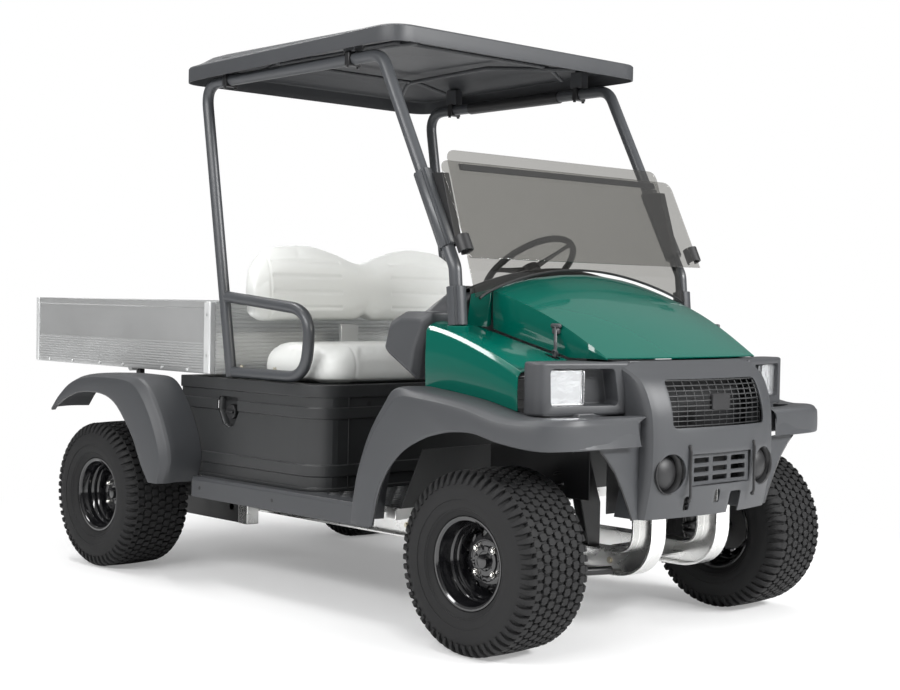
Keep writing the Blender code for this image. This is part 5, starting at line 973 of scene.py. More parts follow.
for cutter in (round_slot("grille_cut", -0.232, 0.232, 0.685, 0.83, 0.018),
               round_slot("plate_cut", -0.152, 0.152, 0.505, 0.604, 0.006),
               *[rod("bumper_cut", (1.44, y, bumper_z), (1.62, y, bumper_z), bumper_bore, 40)
                 for y in (bumper_y, -bumper_y)],
               round_slot("tow_hole", -0.165, -0.139, 0.432, 0.476, 0.0125),
               round_slot("tow_hole", -0.026, 0.0, 0.448, 0.49, 0.0125),
               round_slot("notch", 0.055, 0.118, 0.395, 0.478, 0.01)):
    carved(nose_skin, cutter)
rounded(nose_skin, 0.0022, 2, 38)
settle(nose_skin, 35)
nose_parts = [nose_skin, block("hood_stop", (1.36, -0.3, 0.86), (1.42, 0.3, 0.8838), 0.002)]
for side in (1, -1):
    nose_parts.append(block("lug", (1.4405, side * 0.142, 0.42), (1.513, side * 0.188, 0.4695), 0.003))
    outline = [(0.3, nose_low), (0.34, nose_low), (0.362, 0.455), (0.39, 0.505), (0.425, 0.56), (0.468, 0.605),
               (0.4995, 0.6308), (0.3, 0.6308)]
    nose_parts.append(prism("valance", [(y * side, z) for y, z in outline], "X", 1.4712, 1.4765, 0.0015))
    face = bent([(1.269, 0.305, 0), (1.269, 0.6195, 0), (1.345, 0.6195, 0), (1.4245, 0.318, 0), (1.4245, 0.305, 0)],
                0.034, 6)
    pod = prism("pod", [(p.x, p.y * side) for p in face], "Z", 0.7225, 0.8815, 0.013, 4, 40)
    nose_parts.append(block("pod_seat", (1.28, side * 0.295, 0.645), (1.395, side * 0.5, 0.73), 0.004))
    nose_parts.append(block("pod_foot", (1.39, side * 0.295, 0.645), (1.482, side * 0.415, 0.719), 0.004))
    outward, inward = Vector((0.9618, 0.2738 * side, 0)), Vector((0.2738, -0.9618 * side, 0))
    corner = Vector((1.345, 0.6 * side, 0))
    line = bent([(0.12, 0.751, 0), (0.268, 0.751, 0), (0.25, 0.862, 0), (0.02, 0.862, 0), (0.024, 0.751, 0),
                 (0.12, 0.751, 0)], 0.016, 6)[:-1]
    rings = []
    for depth, shrink in ((-0.058, 0.93), (0.04, 1.03)):
        rings.append([corner + inward * (0.14 + (p.x - 0.14) * shrink) + outward * depth
                      + Vector((0, 0, 0.8065 + (p.y - 0.8065) * shrink)) for p in line])
    carved(pod, skin("pod_cut", rings, 1, closed=True))
    rounded(pod, 0.0022, 2, 40)
    nose_parts.append(settle(pod, 35))
fascia_piece = joined(nose_parts, "charcoal_nose")
fit(fascia_piece, charcoal, "charcoal_plastic", "fascia")

# Rubber bumpers, tow straps and black edgings on the nose.
# The domes sit in the round recesses and the straps hook over the lower plate.
strap_y = 0.164
bumpers = []
for side in (1, -1):
    dome = ball(0.056, 40, (1.497, side * bumper_y, bumper_z))
    dome.scale = (0.62, 1, 1)
    bumpers.append(settle(dome, 60))
    y = side * bumper_y
    cup = rod("cup", (1.47, y, bumper_z), (1.53, y, bumper_z), 0.064, 40)
    bumpers.append(carved(cup, rod("bore", (1.478, y, bumper_z), (1.6, y, bumper_z), bumper_bore, 40)))
    spine = bent([(x, side * strap_y, z) for x, z in ((1.549, 0.462), (1.556, 0.474), (1.5545, 0.55),
                                                      (1.556, 0.612), (1.55, 0.628))], 0.012, 4)
    bumpers.append(pipe("strap", spine, 0.0042, 8))
    for z in (0.464, 0.628):
        bumpers.append(ball(0.0065, 16, (1.5505, side * strap_y, z)))
    edge = [(1.474, side * y, z) for y, z in ((0.341, 0.4115), (0.362, 0.455), (0.39, 0.505), (0.425, 0.56),
                                                (0.468, 0.605), (0.497, 0.628))]
    bumpers.append(pipe("edging", bent(edge, 0.02, 3), 0.0038, 8))
fit(joined(bumpers, "rubber_bumpers"), black_trim, "black_plastic")

# Grille: a moulded mesh of thin bars with a bare raised plate in the middle.
# The bars follow the nose's bow and stand just behind its skin.
upright_pitch, crossbar_pitch = 0.038, 0.0152
bars = []


def grille_x(y, z):
    return 1.56 - nose_bow * (y / nose_half) ** 2 - nose_rake * max(0.0, (z - 0.735) / 0.15) ** 2 * 0.62 - 0.0225


for i in range(13):
    y = -0.228 + upright_pitch * i
    line = [(grille_x(y, z) - 0.002, y, z) for z in [0.684 + 0.0147 * k for k in range(11)]]
    bars.append(pipe("upright", line, 0.0019, 8))
for j in range(10):
    z = 0.689 + crossbar_pitch * j
    line = [(grille_x(y, z) + 0.001, y, z) for y in [-0.231 + 0.0231 * k for k in range(21)]]
    bars.append(pipe("crossbar", line, 0.0021, 8))
fit(joined(bars, "grille_bars"), dark_moulding, "charcoal_plastic", "grille_mesh")
plate_z = 0.7595
plate_rings = []
for depth, size in ((-0.006, 1.0), (0.0035, 1.0), (0.0055, 0.96)):
    x = grille_x(0, 0.76) + 0.002 + depth
    plate_rings.append([(x, p.x * size, plate_z + (p.y - plate_z) * size)
                        for p in round_loop(-0.045, 0.045, 0.734, 0.785, 0.01, 5)])
bare_plate = skin("bare_plate", plate_rings, 1, closed=True)
fit(bare_plate, black_trim, "charcoal_plastic")
panel_back = block("radiator_shroud", (1.44, -0.27, 0.64), (1.444, 0.27, 0.858), 0.001)
fit(panel_back, black_trim, "black_plastic")

# Lower plate: a charcoal moulding with three columns of three slots, held by the two straps.
# It sits in its opening just proud of the nose.
plate = block("slotted_plate", (1.5312, -0.1514, 0.5056), (1.5424, 0.1514, 0.6034), 0.003, 3)
slots = []
slot_pitch_y, slot_pitch_z = 0.094, 0.028
for i in range(3):
    for j in range(3):
        y = slot_pitch_y * (i - 1)
        z = 0.5265 + slot_pitch_z * j
        slots.append(round_slot("slot", y - 0.037, y + 0.037, z - 0.008, z + 0.008, 0.004, 1.5, 1.58))
for cutter in slots:
    carved(plate, cutter)
rounded(plate, 0.0012, 2, 50)
fit(settle(plate, 35), charcoal, "charcoal_plastic", "slot_plate")
shroud = joined([block("plate_shroud", (1.49, -0.165, 0.48), (1.493, 0.165, 0.625), 0.001),
                 block("air_dam", (1.33, -0.29, 0.41), (1.334, 0.29, 0.7), 0.001)], "lower_shroud")
fit(shroud, black_trim, "black_plastic")

# Lamps: a bright reflector box behind a clear moulded lens with a thin plated rim.
# Each fills the outer end of its recess.
lens_glass = finish("lens_glass", (0.96, 0.97, 0.98), 0.04, grain=0.25, grain_scale=40, depth=0.001, cloud=0.02,
                    more={"Transmission Weight": 0.85, "IOR": 1.25})
reflector = finish("reflector", (0.93, 0.94, 0.95), 0.12, 1.0, grain=0.4, grain_scale=45, depth=0.003,
                   cloud=0.06, cloud_scale=30, gloss=(0.08, 0.2))
for side, tag in both_sides:
    plan_line = [(1.286, 0.453), (1.364, 0.453), (1.331, 0.586), (1.286, 0.586)]
    shell = prism("reflector", [(x, y * side) for x, y in plan_line], "Z", 0.754, 0.8585, 0.004, 2)
    fit(shell, reflector, "bright_aluminium", "headlamp_" + tag)
    lens_line = [(1.362, 0.456), (1.3705, 0.456), (1.3385, 0.585), (1.33, 0.585)]
    lens = prism("lens", [(x, y * side) for x, y in lens_line], "Z", 0.756, 0.8565, 0.003, 3)
    fit(lens, lens_glass, "clear_lamp")
    rim_line = bent([(1.357, side * 0.52, 0.7545), (1.374, side * 0.4535, 0.7545), (1.374, side * 0.4535, 0.8575),
                     (1.34, side * 0.587, 0.8575), (1.34, side * 0.587, 0.7545), (1.357, side * 0.52, 0.7545)],
                    0.01, 5)
    fit(pipe("lens_rim_" + tag, rim_line[:-1], 0.0022, 8, loop=True), reflector, "bright_aluminium")

# Dash: a charcoal moulding with flared ends that wrap the rear edges of the green panels.
# It has a dark trim strip against the hood's bridge, a louvre and a cluster behind the wheel.
half_shares = [(0.0, 1.0, 1.0), (0.3, 0.95, 1.0), (0.66, 0.7, 1.0), (0.8, 0.0, 1.0), (0.96, 0.0, 1.0),
               (1.0, 0.0, 0.75)]
across_shares = [(-a, b, c) for a, b, c in reversed(half_shares[1:])] + half_shares
section_shares = ((0.0, 0.45), (0.12, 0.85), (0.45, 1.0), (1.0, 1.0), (1.0, 0.9), (0.8, 0.45), (0.72, 0.0),
                  (0.1, 0.36))
rows = []
for across, crown, size in across_shares:
    top = 1.02 + 0.09 * crown
    ring = []
    for u, v in section_shares:
        x, z = 0.6405 + 0.2205 * u, mix(0.8005, top - 0.0005, v)
        ring.append((mix(0.7508, x, size), 0.6175 * across, mix((0.8 + top) / 2, z, size)))
    rows.append(ring)
dash = skin("dash_skin", rows, 1, closed=True)
rounded(dash, 0.01, 4, 18)
bore = rod("bore", (0.64, 0.32, 0.895), (0.42, 0.32, 1.157), 0.0246, 32)
carved(dash, bore)
fit(settle(dash, 32), charcoal, "charcoal_plastic", "dash")
rows = []
for k in range(25):
    across = -1 + k / 12
    top = hood_spot(0, across)
    rows.append([(0.863, top.y * 1.01, top.z - 0.06), (0.863, top.y * 1.01, top.z + 0.014 - 0.01 * abs(across)),
                 (0.856, top.y * 1.01, top.z + 0.022 - 0.012 * abs(across)),
                 (0.82, top.y * 0.99, top.z + 0.022 - 0.02 * abs(across)), (0.8, top.y * 0.98, top.z - 0.03)])
fit(walled(skin("dash_trim", rows, 2), 0.003, (0.84, 0, 0.9), 0.0015, 2, 30), black_trim, "black_plastic")
hood_over = [(0.6, 1.06), (0.64, 1.098), (0.7, 1.118), (0.79, 1.12), (0.8, 1.06)]
cluster = [prism("cluster_hood", hood_over, "Y", 0.205, 0.435, 0.008, 3),
           block("louvre", (0.655, -0.3, 1.05), (0.672, -0.16, 1.106), 0.003)]
for k in range(4):
    cluster.append(block("blade", (0.65, -0.292, 1.057 + 0.0125 * k), (0.66, -0.168, 1.061 + 0.0125 * k), 0.001, 1))
fit(settle(joined(cluster, "cluster_and_louvre")), dark_moulding, "charcoal_plastic")

# Steering: a black rubber-coated wheel with finger bumps, three spokes and a domed cover.
# It turns on a column that comes out of the dash.
wheel_centre = Vector((0.42, 0.32, 1.17))
wheel_axis = Vector((-math.sin(math.radians(40)), 0, math.cos(math.radians(40))))
wheel_turn = wheel_axis.to_track_quat("Z", "Y")
rim_radius, column_reach = 0.185, 0.338
rings = []
for i in range(120):
    angle = math.tau * i / 120
    out = Vector((math.cos(angle), math.sin(angle), 0))
    bump = 0.0012 * max(0.0, math.sin(angle * 30)) ** 2
    ring = []
    for k in range(14):
        a = math.tau * k / 14
        grip = 0.0122 + bump * (1 if math.cos(a) < 0 else 0)
        place = out * (rim_radius + grip * math.cos(a)) + Vector((0, 0, grip * math.sin(a)))
        ring.append(wheel_centre + wheel_turn @ place)
    rings.append(ring)
steer_parts = [skin("steer_rim", rings + [rings[0]], 1, closed=True)]
hub_low, hub_high = wheel_centre - wheel_axis * 0.017, wheel_centre + wheel_axis * 0.01
steer_parts.append(rod("hub", hub_low, hub_high, 0.043, 40, 0.003))
cover = ball(0.038, 36)
cover.scale = (1, 1, 0.21)
cover.rotation_euler = wheel_turn.to_euler()
cover.location = hub_high
steer_parts.append(settle(cover, 60))
for k in range(3):
    angle = math.tau * k / 3
    out = wheel_turn @ Vector((math.cos(angle), math.sin(angle), 0))
    flank = wheel_turn @ Vector((-math.sin(angle), math.cos(angle), 0))
    rows = []
    for reach, wide in ((0.03, 0.02), (0.08, 0.015), (0.13, 0.011), (0.18, 0.013)):
        spot = wheel_centre + out * reach
        rows.append([spot + flank * wide * u + wheel_axis * v
                     for u, v in ((-1, -0.003), (1, -0.003), (1, 0.003), (-1, 0.003))])
    steer_parts.append(rounded(skin("spoke", rows, 3, closed=True), 0.002, 2))
steer_piece = settle(joined(steer_parts, "steering_wheel_piece"), 40)
fit(steer_piece, black_trim, "black_steel", "steering_wheel", body="steering_wheel")
column_top = wheel_centre - wheel_axis * 0.0187
column = [rod("shaft", column_top - wheel_axis * column_reach, column_top, 0.015, 28),
          rod("jacket", column_top - wheel_axis * column_reach, column_top - wheel_axis * 0.045, 0.0236, 32, 0.002)]
fit(settle(joined(column, "column_jacket")), black_trim, "black_steel", "steering_column")
pads = [pin("pivot", 0.64, 0.3975, 0.201, 0.394, 0.0055, 20)]
for y in (0.2375, 0.3575):
    pads.append(rod("arm", (0.64, y, 0.3975), (0.64, y, 0.532), 0.0055, 16))
    pads.append(block("pad", (0.627, y - 0.037, 0.4675), (0.6398, y + 0.037, 0.5615), 0.004, 3))
    for k in range(6):
        z = 0.476 + 0.014 * k
        pads.append(block("ridge", (0.6262, y - 0.032, z), (0.628, y + 0.032, 0.482 + 0.014 * k), 0.0006, 1))
fit(settle(joined(pads, "pedal_pads")), black_trim, "tyre_rubber", "pedals")

# Canopy frame: two charcoal-painted bent tubes, one a side, that stand in grooved sleeves.
# Hip loops are welded to the rear posts and bolted down beside the bench.
tube_paint = finish("tube_paint", (0.05, 0.053, 0.058), 0.34, grain=0.14, grain_scale=300, depth=0.0004,
                    cloud=0.08, cloud_scale=6, gloss=(0.28, 0.42))


def grooved(name, start, end, radius, grooves, deep=0.0045, wide=0.16):
    """A sleeve with long grooves pressed along it."""
    start, end = Vector(start), Vector(end)
    along = (end - start).normalized()
    out = along.cross(Vector((0, 1, 0))).normalized()
    over = along.cross(out)
    rings = []
    for share, slim in ((0.0, 0.94), (0.012, 1.0), (0.988, 1.0), (1.0, 0.94)):
        ring = []
        for k in range(72):
            angle = math.tau * k / 72
            dip = 0
            for groove in grooves:
                near = abs((angle - groove + math.pi) % math.tau - math.pi)
                if near < wide:
                    dip = deep
            r = radius * slim - dip
            ring.append(start.lerp(end, share) + out * r * math.cos(angle) + over * r * math.sin(angle))
        rings.append(ring)
    return settle(skin(name, rings, 1, closed=True), 32)


post_y = 0.57


def roof_bar_z(x):
    """Height of the roof bars, which rise a little towards the front."""
    return mix(1.838, 1.855, (x + 0.405) / 0.98)


for side, tag in both_sides:
    y = side * post_y
    path = bent([(0.952, y, 0.98), (0.935, y, 1.16), (0.575, y, 1.855), (-0.405, y, 1.838), (-0.222, y, 0.7615)],
                0.075, 10)
    post = [pipe("hoop", path, 0.0208, 28)]
    post.append(grooved("foot_sleeve", (0.952, y, 0.9792), (0.9405, y, 1.101), 0.0305, (0.9, 2.2, 4.0, 5.3)))
    post.append(grooved("upper_sleeve", (0.9024, y, 1.223), (0.7781, y, 1.463), 0.0305, (0.7, 1.4, 2.4, 3.9, 5.0)))
    for x, z in ((-0.348, 1.479), (-0.359, 1.54)):
        post.append(pin("plug", x + 0.004, z, y + side * 0.0165, y + side * 0.0207, 0.006, 16, 0.0008))
    fit(settle(joined(post, "hoop_tube_" + tag), 40), tube_paint, "tube_paint", "hoop_" + tag)
    wedge_line = [(0.913, 1.226), (0.932, 1.226), (0.861, 1.459), (0.793, 1.459)]
    gasket = prism("pane_gasket_" + tag, wedge_line, "Y", side * 0.532, side * 0.562, 0.002)
    fit(gasket, black_trim, "black_plastic")
    loop_path = bent([(-0.2515, y, 1.053), (0.229, y, 1.011), (0.208, y, 0.7785), (-0.205, y, 0.7785)], 0.105, 12)
    loop = pipe("hip_loop_tube_" + tag, loop_path, 0.0207, 28)
    fit(settle(loop, 40), tube_paint, "tube_paint", "hip_loop_" + tag)
    bolts = [hex_bolt((x, side * 0.56, 0.7985), (0, 0, 1), 0.011, 0.008) for x in (-0.175, 0.02)]
    fit(joined(bolts, "loop_bolts_" + tag), zinc_bolt, "bright_aluminium")
    if side > 0:
        sleeve = rod("roof_sleeve", (-0.16, y, 1.8422), (0.33, y, 1.8507), 0.0245, 32, 0.003)
        fit(settle(sleeve, 40), black_trim, "black_plastic")

# Canopy: one vacuum-formed charcoal sheet with a deep turned-down lip and pressed stiffening ribs.
# Bolted clamps hold it to the tube frame at four moulded feet.
roof_front_x, roof_rear_x, roof_half = 0.6895, -0.4945, 0.6245
roof_middle_x, roof_run = 0.0975, 1.185
clamp_places = (-0.258, 0.428)
plan = bent([(0.1, roof_half, 0), (roof_front_x, roof_half, 0), (roof_front_x, -roof_half, 0),
             (roof_rear_x, -roof_half, 0), (roof_rear_x, roof_half, 0), (0.1, roof_half, 0)], 0.09, 10)
canopy_rings = ((0.0, 0.0, 0.0), (0.0, 0.5, 0.0), (0.0, 0.92, 0.0), (0.006, 1.0, 0.02), (0.03, 1.0, 0.1),
                (0.06, 1.0, 0.24), (0.1, 1.0, 0.5), (0.16, 1.0, 0.7), (0.26, 1.0, 0.84), (0.45, 1.0, 0.95),
                (0.7, 1.0, 0.99), (0.998, 1.0, 1.0))
rows = []
for inward, lip, rise in canopy_rings:
    ring = []
    for p in plan:
        x = mix(p.x, roof_middle_x, inward)
        base = mix(1.842, 1.887, (x + 0.495) / roof_run)
        bow = 0.006 * math.cos(math.pi * (p.x - roof_middle_x) / roof_run) * (1 - lip)
        ring.append((x, p.y * (1 - inward), mix(base, 1.9145, rise) + 0.0548 * lip + bow))
    rows.append(ring)
roof = skin("roof", rows, 1)
roof = walled(roof, 0.0048, (0.1, 0, 1.7), 0.003, 3, 30)
roof_parts = [roof]
for x in clamp_places:
    for side in (1, -1):
        base = roof_bar_z(x) + 0.0215
        roof_parts.append(block("foot", (x - 0.029, side * 0.551, base),
                                (x + 0.029, side * 0.589, base + 0.062), 0.004))
for y in (-0.33, 0.33):
    line = bent([(-0.4, y * 1.2, 1.88), (-0.28, y, 1.93), (0.2, y * 0.9, 1.943), (0.56, y * 1.2, 1.915)], 0.12, 8)
    roof_parts.append(pipe("pressed_rib", line, 0.008, 16))
for x in (-0.24, 0.4):
    line = bent([(x, -0.5, 1.902), (x * 1.1, -0.38, 1.932), (x * 1.1, 0.38, 1.932), (x, 0.5, 1.902)], 0.1, 8)
    roof_parts.append(pipe("pressed_rib", line, 0.007, 16))
fit(settle(joined(roof_parts, "moulded_roof"), 32), charcoal, "charcoal_plastic", "canopy")
clamps = []
for x in clamp_places:
    for side in (1, -1):
        z = roof_bar_z(x)
        clamps.append(block("strap", (x - 0.012, side * 0.5435, z - 0.024),
                            (x + 0.012, side * 0.5965, z + 0.024), 0.003))
        for y in (side * 0.5455, side * 0.5945):
            clamps.append(hex_bolt((x, y, z - 0.023), (0, 0, -1), 0.01, 0.008))
fit(settle(joined(clamps, "roof_clamps")), black_metal, "bright_aluminium")

# Windscreen: two smoke-tinted acrylic panes; the upper one is folded down in front of the lower.
# A dark strip hinges them together and two rubber clips stand at the folded pane's corners.
smoke = bpy.data.materials.new("smoke_acrylic")
smoke.use_nodes = True
tree = smoke.node_tree
tree.nodes.remove(tree.nodes["Principled BSDF"])
clear = tree.nodes.new("ShaderNodeBsdfTransparent")
clear.inputs["Color"].default_value = (0.745, 0.74, 0.725, 1)
gloss = tree.nodes.new("ShaderNodeBsdfGlossy")
gloss.inputs["Color"].default_value = (0.55, 0.55, 0.55, 1)
gloss.inputs["Roughness"].default_value = 0.05
glance = tree.nodes.new("ShaderNodeLayerWeight")
glance.inputs["Blend"].default_value = 0.16
pane_mix = tree.nodes.new("ShaderNodeMixShader")
tree.links.new(glance.outputs["Facing"], pane_mix.inputs[0])
tree.links.new(clear.outputs["BSDF"], pane_mix.inputs[1])
tree.links.new(gloss.outputs["BSDF"], pane_mix.inputs[2])
tree.links.new(pane_mix.outputs["Shader"], tree.nodes["Material Output"].inputs["Surface"])


pane_wall = 0.0045
pane_foot, pane_top = (0.9853, 1.0655), (0.8365, 1.5335)
pane_half, pane_arch = 0.5285, 0.105


def arch_rise(across):
    """Share of the lower edge's arch that is reached at a share of the half width."""
    return max(math.cos(across * math.pi / 2 / 0.97), 0) ** 0.8


def pane(name, foot, top, half, arch=0):
    """A flat pane between two edges with round upper corners, its lower edge cut to an arch."""
    foot, top = Vector((foot[0], 0, foot[1])), Vector((top[0], 0, top[1]))
    up = (top - foot).normalized()
    face = Vector((up.z, 0, -up.x))
    tall = (top - foot).length
    line = bent([(half, tall * 0.4, 0), (half, tall, 0), (-half, tall, 0), (-half, tall * 0.4, 0)], 0.04, 8)
    outline = [(p.x, p.y) for p in line] + [(-half, 0.0)]
    if arch:
        for k in range(20):
            across = -0.95 + 0.1 * k
            outline.append((half * across, arch_rise(across) * arch))
    outline += [(half, 0.0)]
    item = drawn_out(name, [foot + Vector((0, u, 0)) + up * v for u, v in outline], face * pane_wall)
    return settle(rounded(item, 0.0008, 2, 50))


fit(pane("lower_pane", pane_foot, pane_top, pane_half, pane_arch), smoke, "tinted_pane",
    "windscreen_lower")
seal_line = []
for k in range(41):
    across = -0.97 + 0.0485 * k
    rise = pane_arch * arch_rise(across)
    seal_line.append((mix(pane_foot[0], pane_top[0], rise / 0.4911) + 0.0035, pane_half * across,
                      pane_foot[1] + 0.953 * rise - 0.001))
fit(pipe("pane_seal", seal_line, 0.0045, 10), black_trim, "black_plastic")
fit(pane("folded_pane", (1.0103, 1.1875), (0.8625, 1.4955), 0.5805), smoke, "tinted_pane",
    "windscreen_upper")
strip = [(0.863, 1.47), (0.876, 1.47), (0.867, 1.4905), (0.8545, 1.4905)]
fit(prism("hinge_strip", strip, "Y", -0.488, 0.488, 0.001, 1), black_trim, "black_plastic")
for side, tag in both_sides:
    clip_along = Vector((-0.148, 0, 0.309)).normalized()
    out = clip_along.cross(Vector((0, 1, 0))).normalized()
    centre = Vector((0.978, side * 0.577, 1.232))
    rings = []
    for share in (0, 1):
        ring = []
        for radius, order in ((0.025, range(21)), (0.019, range(20, -1, -1))):
            for k in order:
                angle = math.radians(55 + 300 * k / 20)
                ring.append(centre + clip_along * (share - 0.5) * 0.054 + out * radius * math.cos(angle)
                            + Vector((0, side * radius * math.sin(angle), 0)))
        rings.append(ring)
    clip = skin("rubber_clip_" + tag, rings, 1, closed=True)
    fit(settle(rounded(clip, 0.0012, 2, 50)), black_trim, "black_plastic")

# Load bed: extruded satin aluminium sides with a rolled top rail and fine ribs along the lower half.
# Pale corner posts and rows of small bolts hold the sides, the corrugated front and the floor.
bed_low, bed_high, deck_z = 0.7675, 1.0335, 0.793
bed_rear_x, bed_front_x, gate_x = -1.535, -0.33, -1.5598
bed_metal = finish("bed_metal", (0.52, 0.525, 0.525), 0.36, 0.7, grain=0.12, grain_scale=120, depth=0.0004,
                   cloud=0.07, cloud_scale=5, gloss=(0.28, 0.42))
# The pale finish is the posts' and studs' own colour; on the corrugated front it is painted light.
pale_cap_and_painted_light = finish("pale_cap_and_painted_light", (0.74, 0.75, 0.75), 0.3, 0.5, grain=0.08, grain_scale=200, depth=0.0003,
                  cloud=0.04, cloud_scale=8, gloss=(0.25, 0.36))
for side, tag in both_sides:
    outer = [(0.5865, bed_low), (0.604, bed_low), (0.606, 0.776)]
    z = 0.784
    while z < 0.874:
        outer += [(0.606, z), (0.6074, z + 0.002), (0.6074, z + 0.006), (0.606, z + 0.008)]
        z += 0.0098
    outer += [(0.605, 0.89), (0.605, 1.008), (0.6095, 1.012), (0.6095, bed_high), (0.5862, bed_high),
              (0.5862, 1.021), (0.599, 1.014), (0.599, 0.812), (0.5865, 0.799)]
    panel = prism("bed_side", [(y * side, zz) for y, zz in outer], "X", bed_rear_x, bed_front_x, 0.0)
    fit(settle(panel, 15), bed_metal, "satin_aluminium", "bed_side_" + tag, body="bed")
    corner = block("corner_post_" + tag, (-0.345, side * 0.583, 0.7672), (-0.3053, side * 0.6099, 1.0338), 0.005, 3)
    fit(settle(corner), pale_cap_and_painted_light, "bright_aluminium", body="bed")
    corner = block("gate_post_" + tag, (gate_x, side * 0.6, 0.7672), (-1.5372, side * 0.6099, 1.0338), 0.004, 3)
    fit(settle(corner), pale_cap_and_painted_light, "bright_aluminium", body="tailgate")
    studs = []
    for x in (-1.45, -1.27, -1.06, -0.89, -0.62, -0.45):
        studs.append(pin("stud", x, 0.7775, side * 0.6045, side * 0.6098, 0.0058, 14, 0.0012))
    for z in (0.835, 0.985):
        studs.append(rod("stud", (-0.3056, side * 0.594, z), (-0.3052, side * 0.594, z), 0.0058, 14))
        studs.append(pin("stud", -0.325, z, side * 0.608, side * 0.6099, 0.0058, 14, 0.0006))
    fit(joined(studs, "bed_studs_" + tag), pale_cap_and_painted_light, "bright_aluminium", body="bed")
front = [(-0.3285, bed_low), (-0.3055, bed_low)]
for i in range(18):
    z = 0.776 + 0.0142 * i
    front += [(-0.3055, z), (-0.3085, z + 0.0025), (-0.3085, z + 0.0055), (-0.3055, z + 0.008)]
front += [(-0.3055, bed_high), (-0.3285, bed_high)]
panel = prism("bed_front", front, "Y", -0.5825, 0.5825)
# The corrugated front is the same satin aluminium as the sides but takes the paler finish: painted light that lifts
# it where it stands in shade.
fit(settle(panel, 15), pale_cap_and_painted_light, "satin_aluminium", "bed_front", body="bed")
deck_line = [(-0.5855, bed_low), (0.5855, bed_low), (0.5855, deck_z)]
for i in range(30):
    y = 0.57 - 0.038 * i
    deck_line += [(y, deck_z), (y - 0.004, 0.7965), (y - 0.026, 0.7965), (y - 0.03, deck_z)]
deck_line += [(-0.5855, deck_z)]
deck = prism("bed_deck", deck_line, "X", bed_rear_x, bed_front_x)
parts = [deck]
for side in (1, -1):
    y0, y1 = sorted((side * 0.2402, side * 0.2718))
    parts.append(block("hinge_leaf", (hinge_x - 0.0155, y0, hinge_z), (hinge_x + 0.0155, y1, 0.77), 0.002))
    parts.append(pin("hinge_eye", hinge_x, hinge_z, y0, y1, 0.0158, 24))
fit(settle(joined(parts, "ribbed_deck"), 25), bed_metal, "satin_aluminium", "bed_floor", body="bed")
gate_line = [(gate_x, bed_low), (-1.5362, bed_low)]
for i in range(8):
    z = 0.784 + 0.0125 * i
    gate_line = [(gate_x, z + 0.0085), (-1.5582, z + 0.0065), (-1.5582, z + 0.002), (gate_x, z)] + gate_line
gate_line = [(-1.5362, bed_high), (gate_x, bed_high)] + gate_line
gate = prism("gate", gate_line, "Y", -0.5995, 0.5995)
fit(settle(rounded(gate, 0.0015, 2, 40), 30), bed_metal, "satin_aluminium", "tailgate", body="tailgate")
latches = [block("latch", (-1.5595, y - 0.02, 0.985), (-1.54, y + 0.02, 1.03), 0.003) for y in (-0.52, 0.52)]
fit(joined(latches, "gate_latches"), black_metal, "black_steel", body="tailgate")

# Rear springs: black channel beams under the axle, held at the front in bright cast brackets.
# One long bolt goes through each bracket.
beams = []
brackets = []
for side in (1, -1):
    beams.append(block("beam", (-1.1595, side * 0.2055, 0.1555), (-0.5925, side * 0.2495, 0.2315), 0.004, 3))
    for x in (-1.1298, -0.6598):
        beams.append(block("hanger", (x, side * 0.2352, 0.2), (x + 0.0296, side * 0.2495, 0.405), 0.002))
    brackets.append(block("bracket", (-0.5915, side * 0.2005, 0.1555), (-0.5305, side * 0.2578, 0.2805), 0.004, 3))
    brackets.append(hex_bolt((-0.56, side * 0.2545, 0.195), (0, side, 0), 0.011, 0.0035))
fit(settle(joined(beams, "spring_beams")), black_metal, "black_steel")
fit(settle(joined(brackets, "spring_brackets")), bright_metal, "satin_aluminium")

# Bench: pale vinyl over foam, a thick seat pad and one backrest with two raised rests.
# The covers are sewn with horizontal channels and a gusset seam round each end.
vinyl = finish("pale_vinyl", (0.72, 0.73, 0.71), 0.4, grain=0.35, grain_scale=380, depth=0.0005, cloud=0.05,
               cloud_scale=5, gloss=(0.34, 0.48))


def puffed(soft, slim, cap, floor_z=None):
    """Foam under vinyl: the plain pad is remeshed, then filled by the cloth solver up to a cap."""
    only(soft)
    soft.data.remesh_voxel_size = 0.008
    bpy.ops.object.voxel_remesh()
    work = bmesh.new()
    work.from_mesh(soft.data)
    for _ in range(10):
        bmesh.ops.smooth_vert(work, verts=work.verts, factor=0.5, use_axis_x=True, use_axis_y=True, use_axis_z=True)
    work.normal_update()
    for vert in work.verts:
        vert.co -= vert.normal * slim
    work.to_mesh(soft.data)
    work.free()
    before = [v.co.copy() for v in soft.data.vertices]
    cloth = soft.modifiers.new("pressure", "CLOTH")
    cloth.settings.use_pressure = True
    cloth.settings.uniform_pressure_force = 4
    cloth.settings.effector_weights.gravity = 0
    cloth.settings.quality = 3
    for step in range(1, 21):
        bpy.context.scene.frame_set(step)
    solved = soft.evaluated_get(bpy.context.evaluated_depsgraph_get())
    filled = [v.co.copy() for v in solved.data.vertices]
    soft.modifiers.remove(cloth)
    bpy.context.scene.frame_set(1)
    for vertex, was, now in zip(soft.data.vertices, before, filled):
        moved = now - was
        vertex.co = was + moved * min(1, cap / max(moved.length, 0.0001))
    finer = soft.modifiers.new("finer", "SUBSURF")
    finer.levels = finer.render_levels = 1
    apply_all(soft)
    if floor_z is not None:
        for vertex in soft.data.vertices:
            vertex.co.z = max(vertex.co.z, floor_z)
    return soft


def sew(soft, distance, deep, wide):
    """A channel pressed into the pad wherever the distance to its stitch line is small."""
    out = [v.normal.copy() for v in soft.data.vertices]
    for vertex, normal in zip(soft.data.vertices, out):
        off = distance(vertex.co)
        if off < wide:
            vertex.co -= normal * deep * (1 - (off / wide) ** 1.3) ** 1.5


channel_heights = (1.0185, 1.0765, 1.1345, 1.19)


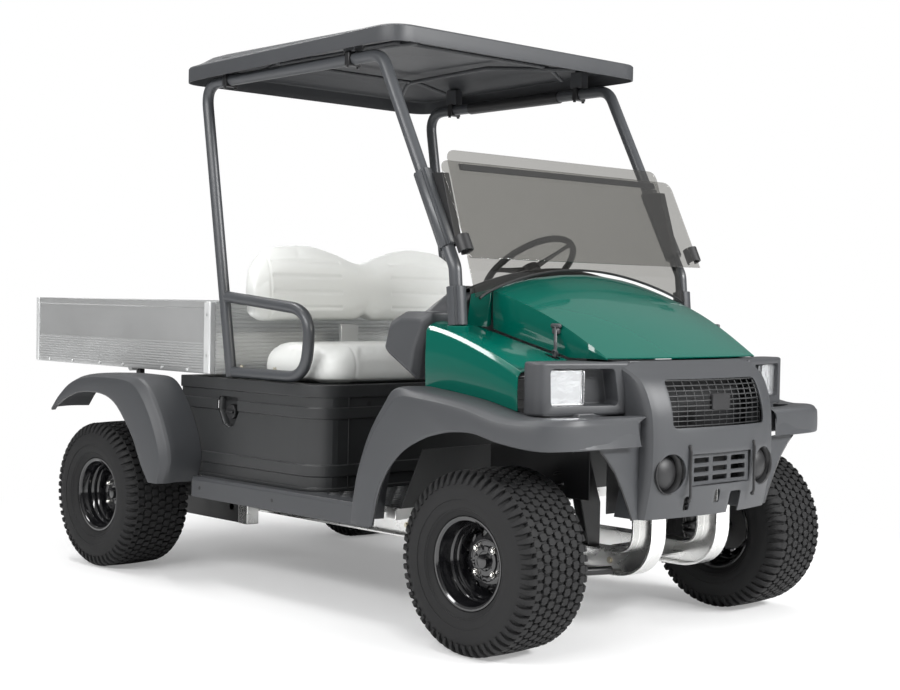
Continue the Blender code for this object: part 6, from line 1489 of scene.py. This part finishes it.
def to_back_seam(spot):
    """How far a place on the backrest's front is from the nearest stitch line."""
    if spot.x < -0.255 + 0.0525 + 0.03 * (1.265 - spot.z) / 0.31:
        return 1.0
    lines = [abs(abs(spot.y) - 0.462) + 0.004]
    if 0.125 < abs(spot.y) < 0.452:
        lines += [abs(spot.z - h) for h in channel_heights]
    return min(lines)


half_humps = [(0.0, 0.8), (0.25, 0.92), (0.5, 1.0), (0.8, 0.93), (0.955, 0.7), (1.0, 0.4)]
humps = [Vector((a, t, 0)) for a, t in [(-a, t) for a, t in reversed(half_humps[1:])] + half_humps]
rows = []
for k in range(81):
    spot = through(humps, k / 80)
    end = max(abs(spot.x) - 0.86, 0) / 0.14
    thin = 1 - 0.45 * end ** 2.5
    notch = 0.075 * max(0.0, 1 - abs(spot.x) / 0.09) ** 1.5
    ring = []
    for i in range(28):
        angle = math.tau * i / 28
        u = math.copysign(abs(math.cos(angle)) ** 0.55, math.cos(angle)) * thin
        v = math.copysign(abs(math.sin(angle)) ** 0.55, math.sin(angle))
        low = 0.1 * end ** 2 + notch
        share = mix(low, spot.y, 0.5 + 0.5 * v)
        ring.append((-0.2025 + 0.0515 * u + 0.03 * (1 - share), 0.5385 * spot.x, 0.9555 + 0.309 * share))
    rows.append(ring)
back_pad = puffed(skin("backrest_pad", rows, 1, closed=True), 0.005, 0.009)
sew(back_pad, to_back_seam, 0.004, 0.011)
fit(settle(back_pad, 60), vinyl, "pale_vinyl", "seat_back")


def to_base_seam(spot):
    corner = abs(abs(spot.y) - 0.405)
    return corner if spot.z > 0.765 and spot.x > -0.12 else 1.0


rows = []
for rise, inset in ((0.0, 0.024), (0.05, 0.006), (0.3, 0.0), (0.62, 0.004), (0.8, 0.016), (0.92, 0.034),
                    (0.99, 0.062)):
    rear, front, half = inset - 0.148, 0.298 - inset, 0.539 - inset
    ring = bent([(0.07, half, 0), (front, half, 0), (front, -half, 0), (rear, -half, 0), (rear, half, 0),
                 (0.07, half, 0)], 0.115, 12)
    crown = 0.004 * rise
    rows.append([(p.x, p.y, 0.758 + 0.132 * rise + crown * (1 - (p.y / 0.54) ** 2)) for p in ring[:-1]])
seat_pad = puffed(skin("seat_pad", rows, 1, closed=True), 0.006, 0.01, 0.7576)
sew(seat_pad, to_base_seam, 0.0018, 0.01)
fit(settle(seat_pad, 60), vinyl, "pale_vinyl", "seat_base")
bracket_plate = block("strap_bracket", (-0.2425, -0.044, 0.758), (-0.2305, 0.044, 0.953), 0.002)
fit(settle(bracket_plate), pale_cap_and_painted_light, "black_steel", "back_bracket")
